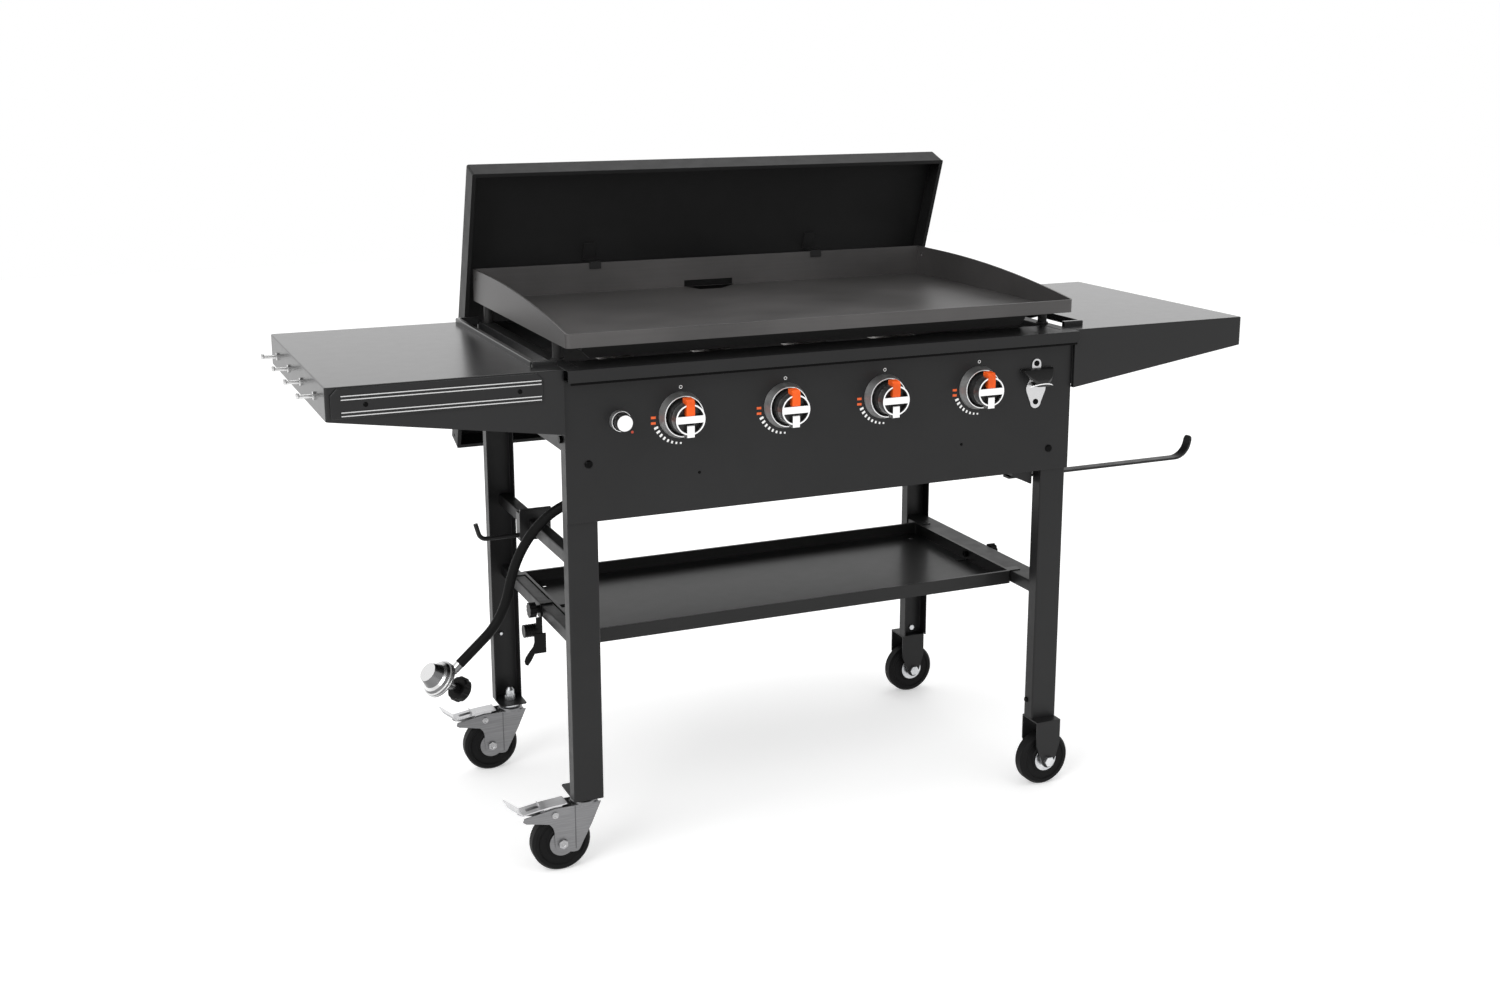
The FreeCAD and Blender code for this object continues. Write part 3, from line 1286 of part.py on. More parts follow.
def regulator():
    end = V(*hose_points[-1])
    way = end - V(*hose_points[-2])
    ferrule = placed(spun([(0, 0), (7.8, 0), (7.8, 11), (7.2, 12), (7.2, 13), (7.8, 14), (6.4, 18), (6.4, 24),
                           (0, 24)]), end, way)
    joint = end + V(way).normalize() * 20
    neck = placed(Part.makeCylinder(5.5, (reg_c - joint).Length), joint, reg_c - joint)
    housing = placed(spun([(0, -17), (16, -17), (25.5, -5), (31, -5), (31, -2.5), (29.8, -1.8), (29.8, -0.7),
                           (31, 0), (31, 2.5), (28.5, 3.5), (26, 8), (21.5, 10.5), (16.3, 26.5), (0, 26.5)]),
                     reg_c, reg_axis)
    stem_way = hand_c - port_c
    reach = stem_way.Length
    inlet = placed(spun([(0, 0), (7, 0), (7, reach - 12), (4, reach - 12), (4, reach + 9), (0, reach + 9)]),
                   port_c, stem_way)
    return joined([housing, neck, ferrule, inlet])


# Hand wheel: a fluted dark wheel with a hub towards the regulator and a cupped mouth.
def handwheel():
    way = hand_c - port_c
    bore = 4 + shaft_gap
    body = spun([(bore, -11.7), (9, -11.7), (9, -6), (18.5, -6), (21, -3.5), (21, 7.5), (18.5, 10), (12, 10),
                 (12, 4), (bore, 4)])
    cuts = []
    for i in range(8):
        a = 2 * math.pi * i / 8
        cuts.append(Part.makeCylinder(5.0, 30.0, V(23.5 * math.cos(a), 23.5 * math.sin(a), -15), Z))
    return placed(body.cut(Part.makeCompound(cuts)), hand_c, way)


nodes["regulator"] = regulator()
nodes["handwheel"] = handwheel()


# Bolt and screw heads: leg bolts on the side panels, panel bolts, strip and opener screws, one
# bolt low on the right front leg, and the nuts of the two thumb screws inside the tray.
def fasteners():
    out = []
    north = V(0, -1, 0)
    for side in (-1, 1):
        way = V(side, 0, 0)
        for y in (leg_front + 13.5, leg_rear - 12.5):
            out.append(hexagon(side * body_half, y, side_low + 19, 11.0, 5.0, way))
    out.append(dome_head(37.0 - body_half, body_y, panel_low + 94.2, 6.5, 3.0, north))
    out.append(dome_head(body_half - 41.0, body_y, panel_low + 38.7, 6.5, 3.0, north))
    out.append(dome_head(leg_in, leg_front + 19.5, 160.0, 5.0, 3.0, V(-1, 0, 0)))
    for x in (-240.6, 245.3):
        out.append(dome_head(x, body_y, panel_low + 62.5, 2.5, 1.2, north))
    for x in (strip_x0 + 51.0, strip_x1 - 37.5):
        out.append(dome_head(x, shelf_y0 - strip_t, strip_z0 + 20.0, 3.6, 1.6, north))
    for z in (knob_z - opener_screw, knob_z + opener_screw):
        out.append(dome_head(opener_x, body_y - 2.0, z, 5.0, 2.0, north))
    for side, y in ((-1, steady_y), (1, tray_knob_y)):
        inner = side * (tray_half - sheet)
        nut = hexagon(inner, y, screw_z, 11.0, nut_h, V(-side, 0, 0))
        out.append(nut.cut(cyl(inner - 15, y, screw_z, screw_r + shaft_gap, 30, X)))
    return Part.makeCompound(out)


nodes["fasteners"] = fasteners()


os.makedirs("parts", exist_ok=True)
for name, shape in nodes.items():
    shape.translate(to_frame)
    shape.exportStep("parts/%s.step" % name)
print("nodes", len(nodes))
print("moved by %.3f %.3f" % (to_frame.x, to_frame.y))
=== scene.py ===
# %% [markdown]
# # Outdoor gas griddle station
#
# A flat-top griddle stands on a sheet-metal burner box with four channel legs, a shelf on each
# side, a tray below, two swivel casters on the left and two fixed wheels on the right. The cover
# hangs behind the plate, and a rubber hose with a regulator hangs at the left.
#
# The solid parts come ready made from the frame. This lesson gives each of them a finish, adds
# the small things that are printed, pressed or crimped on them, and lights the result.

# %% Load the frame
import math

import bpy
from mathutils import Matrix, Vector


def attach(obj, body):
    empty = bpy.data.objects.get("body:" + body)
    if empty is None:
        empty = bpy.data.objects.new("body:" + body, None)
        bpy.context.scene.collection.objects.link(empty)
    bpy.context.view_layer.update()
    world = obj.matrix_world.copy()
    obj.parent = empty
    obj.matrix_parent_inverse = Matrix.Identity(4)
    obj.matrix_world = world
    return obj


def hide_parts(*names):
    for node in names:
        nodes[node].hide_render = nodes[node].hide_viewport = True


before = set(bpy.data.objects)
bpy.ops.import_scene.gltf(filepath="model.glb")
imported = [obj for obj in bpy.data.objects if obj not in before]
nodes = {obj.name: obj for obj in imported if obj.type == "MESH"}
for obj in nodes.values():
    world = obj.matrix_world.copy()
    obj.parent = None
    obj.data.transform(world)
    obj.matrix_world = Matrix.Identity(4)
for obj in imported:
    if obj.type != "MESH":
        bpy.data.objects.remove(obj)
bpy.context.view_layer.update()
bpy.ops.object.select_all(action="DESELECT")

# %% [markdown]
# ## One set of coordinates
#
# The drawing counts millimetres from the middle of the griddle plate's front edge, at floor
# level. The frame counts metres from the middle of the whole footprint. One small function
# turns the first into the second, so that every size below can be read off the drawing.

# %% From drawing millimetres to frame metres
MM = 0.001
DRAWING_TO_FRAME = Vector((14.0, -341.984, 0.0))


def at(x, y, z):
    return (Vector((x, y, z)) + DRAWING_TO_FRAME) * MM


FRONT_PANEL_Y = 5.0
KNOB_Z = 760.0
KNOB_ROW_MIDDLE, KNOB_PITCH = 2.5, 182.6
KNOB_X = [KNOB_ROW_MIDDLE + (i - 1.5) * KNOB_PITCH for i in range(4)]
print("left knob", [round(v, 4) for v in at(KNOB_X[0], FRONT_PANEL_Y, KNOB_Z)])

# %% [markdown]
# ## Camera
#
# The photograph was taken from the front left, a little above the plate, with a lens of about
# 41 mm on a full-frame sensor. The middle of the lens isn't quite in the middle of the picture,
# as if the picture had been cropped. The camera could be turned to make up for that, but it
# would change how the legs converge, so the lens is shifted by a few percent instead.

# %% Camera
CAMERA_PLACE = at(-1226.64, -2470.69, 1331.68)
CAMERA_YAW, CAMERA_PITCH = 0.4168, 0.2239
PICTURE_WIDTH, PICTURE_HEIGHT = 1500, 1000
LENS_MIDDLE_X, LENS_MIDDLE_Y = 761.98, 434.25
FOCAL_PIXELS = 1704.2
SENSOR_WIDTH = 36.0
FAR_CLIP = 50

lens = bpy.data.cameras.new("photo_lens")
lens.sensor_width = SENSOR_WIDTH
lens.lens = FOCAL_PIXELS * SENSOR_WIDTH / PICTURE_WIDTH
lens.shift_x = -(LENS_MIDDLE_X - PICTURE_WIDTH / 2) / PICTURE_WIDTH
lens.shift_y = -(PICTURE_HEIGHT / 2 - LENS_MIDDLE_Y) / PICTURE_WIDTH
lens.clip_end = FAR_CLIP
camera = bpy.data.objects.new("photo_camera", lens)
camera.location = CAMERA_PLACE
camera.rotation_euler = (math.pi / 2 - CAMERA_PITCH, 0, -CAMERA_YAW)
bpy.context.collection.objects.link(camera)
bpy.context.scene.camera = camera
print("lens %.2f mm" % lens.lens)

# %% [markdown]
# ## Gas hose
#
# The hose leaves the elbow on the gas pipe pointing down, bends out to the left between the
# crossbars and the leg, and carries the regulator at its end. A tube could be swept along straight
# runs and arcs, but that looks like bent wire. A NURBS curve through a few points is
# smooth all along, and each point can be moved on its own.

# %% Gas hose
HOSE_DIAMETER = 0.0165
HOSE_SIDES, HOSE_STEPS = 6, 12
HOSE_ROUTE = [
    (-383.0, 56.0, 707.0), (-383.4, 60.0, 684.0), (-388.0, 72.0, 661.0), (-398.5, 86.0, 634.5),
    (-422.0, 101.0, 612.0), (-456.0, 116.0, 592.0), (-484.0, 130.0, 560.0), (-505.0, 142.0, 521.0),
    (-519.0, 149.0, 478.0), (-528.0, 151.0, 434.0), (-549.0, 151.0, 396.0), (-579.5, 150.5, 368.5),
    (-609.5, 150.0, 342.0),
]


def open_curve(name, points, radius):
    # The thickness sits on the points, because the curve's own box is grown by their radius.
    curve = bpy.data.curves.new(name, "CURVE")
    curve.dimensions = "3D"
    curve.bevel_depth = 1.0
    curve.bevel_resolution = HOSE_SIDES
    curve.use_fill_caps = True
    line = curve.splines.new("NURBS")
    line.points.add(len(points) - 1)
    for slot, point in zip(line.points, points):
        slot.co = (*at(*point), 1)
        slot.radius = radius
    line.order_u = 3
    line.use_endpoint_u = True
    line.resolution_u = HOSE_STEPS
    piece = bpy.data.objects.new(name, curve)
    bpy.context.collection.objects.link(piece)
    return piece


hose = open_curve("hose", HOSE_ROUTE, HOSE_DIAMETER / 2)
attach(hose, "stand")
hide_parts("gas_hose")
print("hose points", len(HOSE_ROUTE))

# %% [markdown]
# ## Building finishes from nodes
#
# Every finish starts as a Principled shader. Its plain values go straight onto the shader, and
# only what varies over the surface comes from a texture. A picture could give that variation,
# but noise made by nodes has no seams and needs no unwrapping. It reads the piece's own
# coordinates, which are metres here, so its scale is the number of grains in a metre.

# %% A finish and its nodes
FINE_GRAIN = 900.0


def grey(value):
    return (value, value, value)


def new_finish(name, colour, roughness, metallic=0.0, specular=0.5):
    finish = bpy.data.materials.new(name)
    finish.use_nodes = True
    shader = finish.node_tree.nodes["Principled BSDF"]
    shader.inputs["Base Color"].default_value = (*colour, 1)
    shader.inputs["Roughness"].default_value = roughness
    shader.inputs["Metallic"].default_value = metallic
    shader.inputs["Specular IOR Level"].default_value = specular
    finish.diffuse_color = (*colour, 1)
    return finish, finish.node_tree, shader


def node(tree, kind, **sockets):
    made = tree.nodes.new(kind)
    for key, value in sockets.items():
        made.inputs[key.replace("_", " ")].default_value = value
    return made


def noise(tree, scale, detail=2.0, stretch=(1, 1, 1)):
    coords = tree.nodes.new("ShaderNodeTexCoord")
    place = node(tree, "ShaderNodeMapping", Scale=stretch)
    pattern = node(tree, "ShaderNodeTexNoise", Scale=scale, Detail=detail)
    tree.links.new(coords.outputs["Object"], place.inputs["Vector"])
    tree.links.new(place.outputs["Vector"], pattern.inputs["Vector"])
    return pattern.outputs["Fac"]


print("a fine grain is %.1f mm" % (1 / FINE_GRAIN / MM))


# %% What a pattern drives: a number, the colour or the relief
def between(tree, fac, low, high, start=0.35, end=0.65):
    # A number that runs from low to high as fac runs from start to end.
    span = node(tree, "ShaderNodeMapRange", From_Min=start, From_Max=end, To_Min=low, To_Max=high)
    tree.links.new(fac, span.inputs["Value"])
    return span.outputs["Result"]


def tint(tree, shader, fac, dark, light, start=0.35, end=0.65):
    ramp = node(tree, "ShaderNodeValToRGB")
    ramp.color_ramp.elements[0].position = start
    ramp.color_ramp.elements[1].position = end
    ramp.color_ramp.elements[0].color = (*dark, 1)
    ramp.color_ramp.elements[1].color = (*light, 1)
    tree.links.new(fac, ramp.inputs["Fac"])
    tree.links.new(ramp.outputs["Color"], shader.inputs["Base Color"])


def vary_roughness(tree, shader, fac, low, high):
    tree.links.new(between(tree, fac, low, high), shader.inputs["Roughness"])


def relief(tree, shader, fac, depth, edge=0.0):
    # Bump of a given depth in metres, over an edge softened by a bevel of a given radius.
    bump = node(tree, "ShaderNodeBump", Distance=depth, Strength=1.0)
    tree.links.new(fac, bump.inputs["Height"])
    if edge:
        bevel = node(tree, "ShaderNodeBevel", Radius=edge)
        bevel.samples = 4
        tree.links.new(bevel.outputs["Normal"], bump.inputs["Normal"])
    tree.links.new(bump.outputs["Normal"], shader.inputs["Normal"])


def paint(finish, *names):
    for name in names:
        piece = nodes[name] if name in nodes else bpy.data.objects[name]
        piece.data.materials.clear()
        piece.data.materials.append(finish)
    print(finish.name, len(names))


print("nodes to paint", len(nodes))

# %% [markdown]
# ## Powder coat
#
# The body, legs, shelves, tray and cover are powder coated: a baked plastic skin, nearly black,
# with a fine orange peel. A lighter grey could be painted on to match the photograph, but that
# would look chalky. The grey that the eye sees is the white room mirrored in the skin, so the
# colour stays very dark, and the roughness and the grain do the work. On the shelves and the
# tray a glaze of low index lies over the skin. It stays dark when it is looked at squarely and
# shines at a low angle, as the long flat sheets do in the photograph.

# %% Powder coat on the body
ORANGE_PEEL = 620.0
COAT_EDGE = 0.0012


def powder_coat(name, colour, roughness, specular, grain=0.00003, spread=0.03, glaze=0.0):
    finish, tree, shader = new_finish(name, colour, roughness, specular=specular)
    shader.inputs["Coat Weight"].default_value = glaze
    shader.inputs["Coat Roughness"].default_value = 0.2
    shader.inputs["Coat IOR"].default_value = 1.25
    light = tuple(c * 1.3 for c in colour)
    tint(tree, shader, noise(tree, scale=3.0, detail=3.0), colour, light)
    vary_roughness(tree, shader, noise(tree, scale=40.0, detail=4.0),
                   roughness - spread, roughness + spread)
    relief(tree, shader, noise(tree, ORANGE_PEEL, detail=3.0), grain, COAT_EDGE)
    return finish


body_coat = powder_coat("body_powder_coat", (0.0095, 0.0095, 0.0098), roughness=0.40, specular=0.26)
paint(body_coat, "front_panel", "side_panels", "rear_panel", "legs", "crossbars",
      "wheel_brackets", "grease_cup")

# %% [markdown]
# ## Shelves
#
# In the photograph the left shelf's end apron is duller than its top, probably because nothing
# bright stood on that side of the studio. The lamps could be moved to match, but the rest of
# the object would change with them. The scene's room is white all round, so the apron gets less
# glaze instead. The amount follows the way in which the surface looks, on the object's own
# axes, so it stays the same from every camera.

# %% Shelves
LEFT = (-1, 0, 0)
END_APRON = {"start": 0.80, "end": 0.95}


def facing(tree, direction):
    # How squarely the surface looks in a direction of the frame: one when it looks straight there.
    coords = tree.nodes.new("ShaderNodeTexCoord")
    product = tree.nodes.new("ShaderNodeVectorMath")
    product.operation = "DOT_PRODUCT"
    product.inputs[1].default_value = Vector(direction).normalized()
    tree.links.new(coords.outputs["Normal"], product.inputs[0])
    return product.outputs["Value"]


TOP_GLAZE, END_GLAZE = 0.80, 0.28
shelf_coat = powder_coat("shelf_powder_coat", (0.0085, 0.0085, 0.0088), roughness=0.30,
                         specular=0.18, grain=0.000004, spread=0.006, glaze=TOP_GLAZE)
shelf_tree = shelf_coat.node_tree
glaze = between(shelf_tree, facing(shelf_tree, LEFT), TOP_GLAZE, END_GLAZE, **END_APRON)
shelf_tree.links.new(glaze, shelf_tree.nodes["Principled BSDF"].inputs["Coat Weight"])
paint(shelf_coat, "left_shelf", "right_shelf")

# %% Tray, cover and tank hanger
tray_coat = powder_coat("tray_powder_coat", grey(0.013), roughness=0.42, specular=0.15,
                        spread=0.01, glaze=0.45)
paint(tray_coat, "bottom_tray")
cover_coat = powder_coat("cover_powder_coat", (0.009, 0.009, 0.0092), roughness=0.50, specular=0.27)
paint(cover_coat, "lid_shell", "lid_hooks")
small_coat = powder_coat("hardware_powder_coat", (0.008, 0.008, 0.0083), roughness=0.36,
                         specular=0.28, grain=0.00002)
paint(small_coat, "tank_hanger")

# %% [markdown]
# ## Seasoned griddle plate
#
# The plate is hot-rolled steel with a baked film of oil. It is a warm dark grey, with soft
# clouds where the oil lay thicker, a faint grain from the rolling mill that runs from side to
# side, and a matt, slightly pebbled skin. One noise could give either the clouds or the grain.
# Two are added up, and the second is squeezed across its lines, so both show at their own size.
# The frame under the plate, its posts and the burner rails are the same steel, left raw.

# %% Seasoned griddle plate
MILL_LINES = (0.12, 4.0, 4.0)


def added(tree, fac, share, base):
    # A share of one pattern on top of another.
    total = node(tree, "ShaderNodeMath")
    total.operation = "MULTIPLY_ADD"
    total.inputs[1].default_value = share
    tree.links.new(fac, total.inputs[0])
    tree.links.new(base, total.inputs[2])
    return total.outputs["Value"]


def seasoned_steel(name, dark, light, roughness):
    finish, tree, shader = new_finish(name, light, roughness, metallic=0.35)
    clouds = noise(tree, scale=4.0, detail=4.0)
    mill = noise(tree, scale=60.0, detail=3.0, stretch=MILL_LINES)
    tint(tree, shader, added(tree, mill, 0.14, clouds), dark, light, start=0.36, end=0.78)
    vary_roughness(tree, shader, clouds, roughness - 0.03, roughness + 0.04)
    relief(tree, shader, noise(tree, scale=520.0, detail=3.0), depth=0.00003, edge=0.0006)
    return finish


plate_steel = seasoned_steel("seasoned_plate_steel", dark=(0.052, 0.050, 0.0495),
                             light=(0.092, 0.088, 0.087), roughness=0.40)
paint(plate_steel, "griddle_plate")
frame_steel = seasoned_steel("raw_frame_steel", dark=grey(0.012), light=(0.022, 0.021, 0.021),
                             roughness=0.55)
paint(frame_steel, "plate_frame", "plate_posts", "burner_rails")

# %% [markdown]
# ## Zinc and nickel
#
# The wheel pins, the gas pipe and the valve stems are zinc plated: silver with a bluish cast,
# mottled by the bath, and smooth enough to show soft reflections. Noise alone would give only
# clouds, so a Voronoi pattern adds the faint crystals. The forks and pedals are pressed from
# sheet and show fine long lines, so their pattern is a noise that is stretched one way.

# %% Zinc plate
CRYSTALS = 240.0


def zinc_plate(name, dark, light, roughness):
    finish, tree, shader = new_finish(name, light, roughness, metallic=1.0)
    coords = tree.nodes.new("ShaderNodeTexCoord")
    crystal = node(tree, "ShaderNodeTexVoronoi", Scale=CRYSTALS)
    tree.links.new(coords.outputs["Object"], crystal.inputs["Vector"])
    cloud = noise(tree, scale=55.0, detail=4.0)
    mottled = added(tree, crystal.outputs["Distance"], 0.25, cloud)
    tint(tree, shader, mottled, dark, light, start=0.40, end=0.80)
    vary_roughness(tree, shader, cloud, roughness - 0.07, roughness + 0.1)
    relief(tree, shader, noise(tree, scale=300.0, detail=3.0), depth=0.00003, edge=0.0006)
    return finish


zinc = zinc_plate("bright_zinc", dark=(0.50, 0.51, 0.53), light=(0.72, 0.73, 0.74), roughness=0.30)
paint(zinc, "wheel_pins", "manifold_pipe", "valve_stem_1", "valve_stem_2", "valve_stem_3",
      "valve_stem_4")


# %% Pressed zinc on the casters
def pressed_zinc(name, dark, light, roughness, stretch, line_scale):
    finish, tree, shader = new_finish(name, light, roughness, metallic=1.0)
    lines = noise(tree, line_scale, detail=3.0, stretch=stretch)
    tint(tree, shader, lines, dark, light, start=0.3, end=0.7)
    vary_roughness(tree, shader, noise(tree, scale=18.0, detail=3.0),
                   roughness - 0.05, roughness + 0.07)
    relief(tree, shader, lines, depth=0.00002, edge=0.0006)
    return finish


fork_zinc = pressed_zinc("pressed_fork_zinc", (0.19, 0.19, 0.195), (0.25, 0.25, 0.255),
                         roughness=0.36, stretch=(0.05, 1, 1.6), line_scale=420.0)
paint(fork_zinc, "caster_fork_front", "caster_fork_rear")
pedal_zinc = pressed_zinc("pressed_pedal_zinc", (0.56, 0.56, 0.57), (0.64, 0.64, 0.65),
                          roughness=0.30, stretch=(0.1, 1, 1), line_scale=300.0)
paint(pedal_zinc, "brake_pedal_front", "brake_pedal_rear")

# %% [markdown]
# ## Bottle opener
#
# The opener is a bright nickel casting, and its hood is black. Two materials could share the
# faces between them, but the solid comes as one mesh that stays as it is. The hood stands in
# front of the plate, so one material turns from nickel to black at a depth between the two.

# %% Bottle opener
HOOD_FROM_Y, PLATE_FROM_Y = 2.4, 2.6
HOOD_BLACK, PLATE_NICKEL = grey(0.006), (0.58, 0.58, 0.585)

nickel = pressed_zinc("cast_nickel", (0.54, 0.54, 0.545), (0.62, 0.62, 0.625),
                      roughness=0.30, stretch=(1, 1, 1), line_scale=60.0)
nickel_tree = nickel.node_tree
nickel_shader = nickel_tree.nodes["Principled BSDF"]
place = nickel_tree.nodes.new("ShaderNodeTexCoord")
axes = nickel_tree.nodes.new("ShaderNodeSeparateXYZ")
nickel_tree.links.new(place.outputs["Object"], axes.inputs["Vector"])
bare = between(nickel_tree, axes.outputs["Y"], 0.0, 1.0,
               start=at(0, HOOD_FROM_Y, 0).y, end=at(0, PLATE_FROM_Y, 0).y)
nickel_tree.links.new(bare, nickel_shader.inputs["Metallic"])
tint(nickel_tree, nickel_shader, bare, HOOD_BLACK, PLATE_NICKEL, start=0.0, end=1.0)
paint(nickel, "bottle_opener")

# %% [markdown]
# ## Regulator
#
# The regulator is die cast. In the photograph the faces that look along its axis are bright and
# its flanks are much darker, probably because they mirror a dark part of the studio. A black
# card could be set up beside it, but that would show in the hose and the legs too. So its dark
# and light are painted, by how squarely a face looks along the regulator's axis.

# %% Regulator
REGULATOR_AXIS = (-0.73, -0.245, 0.645)

cast_grey = pressed_zinc("die_cast_regulator", (0.42, 0.42, 0.425), (0.50, 0.50, 0.505),
                         roughness=0.22, stretch=(1, 1, 1), line_scale=30.0)
cast_tree = cast_grey.node_tree
tint(cast_tree, cast_tree.nodes["Principled BSDF"], facing(cast_tree, REGULATOR_AXIS),
     (0.17, 0.17, 0.172), grey(0.80), start=0.55, end=0.93)
paint(cast_grey, "regulator")

# %% [markdown]
# ## Chrome and stainless steel
#
# The knob trims, bezels and igniter are chromed. Bright parts like these are turned on a lathe,
# so fine rings run round them. The rings could be modelled, but they are less than a millimetre
# apart. A noise that is squeezed hard along the axis of the knob and left long around it gives
# them. On the bezels and trims the flanks are painted duller than the faces that look forwards,
# as on the regulator and for the same reason.

# %% Chrome
FORWARDS = (0, -1, 0)


def chrome(name, colour, roughness, stretch, groove=0.00002):
    finish, tree, shader = new_finish(name, colour, roughness, metallic=1.0)
    lines = noise(tree, scale=60.0, detail=3.0, stretch=stretch)
    vary_roughness(tree, shader, lines, roughness - 0.03, roughness + 0.05)
    dull = tuple(c * 0.92 for c in colour)
    tint(tree, shader, lines, dull, colour, start=0.3, end=0.7)
    relief(tree, shader, lines, groove, edge=0.0005)
    return finish


def bright_front(finish, flank, front):
    tree = finish.node_tree
    tint(tree, tree.nodes["Principled BSDF"], facing(tree, FORWARDS), grey(flank), grey(front),
         start=0.70, end=0.92)


turned_chrome = chrome("turned_bezel_chrome", grey(0.92), 0.50, (1, 40, 1), groove=0.00016)
bright_front(turned_chrome, flank=0.50, front=0.95)
trim_chrome = chrome("knob_trim_chrome", grey(0.90), 0.32, (1, 30, 1), groove=0.00006)
bright_front(trim_chrome, flank=0.46, front=0.92)
paint(trim_chrome, "knob_trim_1", "knob_trim_2", "knob_trim_3", "knob_trim_4")
button_chrome = chrome("button_chrome", grey(0.93), 0.30, (0.3, 0.3, 0.3), groove=0.000005)
paint(button_chrome, "igniter_button")

# %% Hooks, magnet rails, burners and brass valves
hook_chrome = chrome("hook_chrome", grey(0.62), 0.20, (40, 1, 1))
paint(hook_chrome, "tool_hooks")
pole_steel = chrome("magnet_pole_steel", grey(0.62), 0.24, (0.2, 30, 30))
paint(pole_steel, "strip_poles")
burner_steel = chrome("burner_stainless", (0.55, 0.54, 0.52), 0.34, (1, 0.2, 1))
paint(burner_steel, "burners")
brass = chrome("machined_brass", (0.66, 0.50, 0.25), 0.30, (1, 12, 1))
paint(brass, "gas_valves")

# %% [markdown]
# ## Plastics and rubber
#
# The knob bodies, thumb knobs and hand wheel are moulded plastic with a satin spark-eroded skin,
# the pointers are orange plastic, and the wheels are hard black rubber with a faint bloom. All
# come out of a mould, so one recipe serves them: a cloudy bloom in colour and gloss, and a fine
# grain in relief. The black screw heads are oxide on steel, which looks the same at this size.
# The hose is extruded, so its streaks are drawn out along its run.

# %% Plastics and rubber
def moulded(name, colour, roughness, grain_scale=FINE_GRAIN, grain_depth=0.00003, edge=0.0006,
            specular=0.5):
    finish, tree, shader = new_finish(name, colour, roughness, specular=specular)
    bloom = noise(tree, scale=30.0, detail=4.0)
    tint(tree, shader, bloom, tuple(c * 0.85 for c in colour), tuple(c * 1.15 for c in colour))
    vary_roughness(tree, shader, bloom, roughness - 0.05, roughness + 0.05)
    relief(tree, shader, noise(tree, grain_scale), grain_depth, edge)
    return finish


knob_plastic = moulded("knob_plastic", grey(0.012), 0.38)
paint(knob_plastic, "knob_1", "knob_2", "knob_3", "knob_4", "igniter_module")
grip_plastic = moulded("grip_plastic", grey(0.005), 0.40, edge=0.0005, specular=0.14)
paint(grip_plastic, "steady_knob", "tray_knob", "handwheel", "tank_steady")
orange_plastic = moulded("pointer_orange", (0.90, 0.115, 0.012), 0.42, grain_scale=700.0,
                         grain_depth=0.00002, specular=0.25)
paint(orange_plastic, "knob_pointer_1", "knob_pointer_2", "knob_pointer_3", "knob_pointer_4")
wheel_rubber = moulded("wheel_rubber", (0.006, 0.006, 0.0062), 0.55, grain_scale=500.0,
                       grain_depth=0.00005, edge=0.001, specular=0.12)
paint(wheel_rubber, "wheel_left_front", "wheel_left_rear", "wheel_right_front", "wheel_right_rear")
magnet_coat = moulded("magnet_strip_coat", (0.0075, 0.0075, 0.008), 0.40, grain_scale=800.0,
                      specular=0.32)
paint(magnet_coat, "tool_strip")
bolt_black = moulded("black_oxide", grey(0.002), 0.30, grain_scale=700.0, grain_depth=0.00002,
                     edge=0.0004, specular=0.06)
paint(bolt_black, "fasteners")

# %% Hose rubber
hose_rubber, hose_tree, hose_shader = new_finish("hose_rubber", grey(0.004), 0.50, specular=0.10)
streaks = noise(hose_tree, scale=90.0, detail=3.0, stretch=(1, 1, 0.15))
vary_roughness(hose_tree, hose_shader, streaks, 0.44, 0.58)
relief(hose_tree, hose_shader, streaks, depth=0.00008)
paint(hose_rubber, "hose")

# %% [markdown]
# ## Printed marks
#
# Screen printing leaves a skin of paint about a tenth of a millimetre thick. Left of each knob
# two orange bars mark the lighting place, and eight white bars that shrink towards the bottom
# mark the flame from high to low. A small ring above the knob marks the off place, and a red dot
# marks the igniter. The marks could be painted by a texture, which would blur at close range and
# be missing from the mesh. So each mark is a flat mesh with a real thickness, set on the panel.

# %% Marks: working in edit mode
def only(piece):
    # Deselects everything else and makes this piece the one that edit mode opens.
    bpy.ops.object.select_all(action="DESELECT")
    piece.select_set(True)
    bpy.context.view_layer.objects.active = piece


def settle(piece, name):
    # Puts the piece's place, turn and size into its mesh, and leaves its object at the origin.
    only(piece)
    bpy.ops.object.transform_apply(location=True, rotation=True, scale=True)
    piece.name = name
    piece.data.name = name
    return piece


def block(name, middle, size, rotation=(0, 0, 0)):
    # A cube at its place and size, in metres of the frame, from which a piece is then shaped.
    bpy.ops.object.select_all(action="DESELECT")
    bpy.ops.mesh.primitive_cube_add(size=1, location=middle, rotation=rotation, scale=size)
    return settle(bpy.context.object, name)


def pick_faces(piece, wanted):
    # Selects the faces whose centre and normal pass the test. Works in edit mode.
    bpy.ops.mesh.select_mode(type="FACE")
    bpy.ops.mesh.select_all(action="DESELECT")
    bpy.ops.object.mode_set(mode="OBJECT")
    for face in piece.data.polygons:
        face.select = wanted(face.center, face.normal)
    bpy.ops.object.mode_set(mode="EDIT")


def looks_forwards(centre, normal):
    return normal.y < -0.9


print("panel front at y %.4f" % at(0, FRONT_PANEL_Y, 0).y)

# %% Marks: one printed bar
PAINT = 0.00015
TOWARDS_FRONT = Vector((0, -1, 0))
BAR_EDGE, BAR_CROWN = 0.25, 0.05


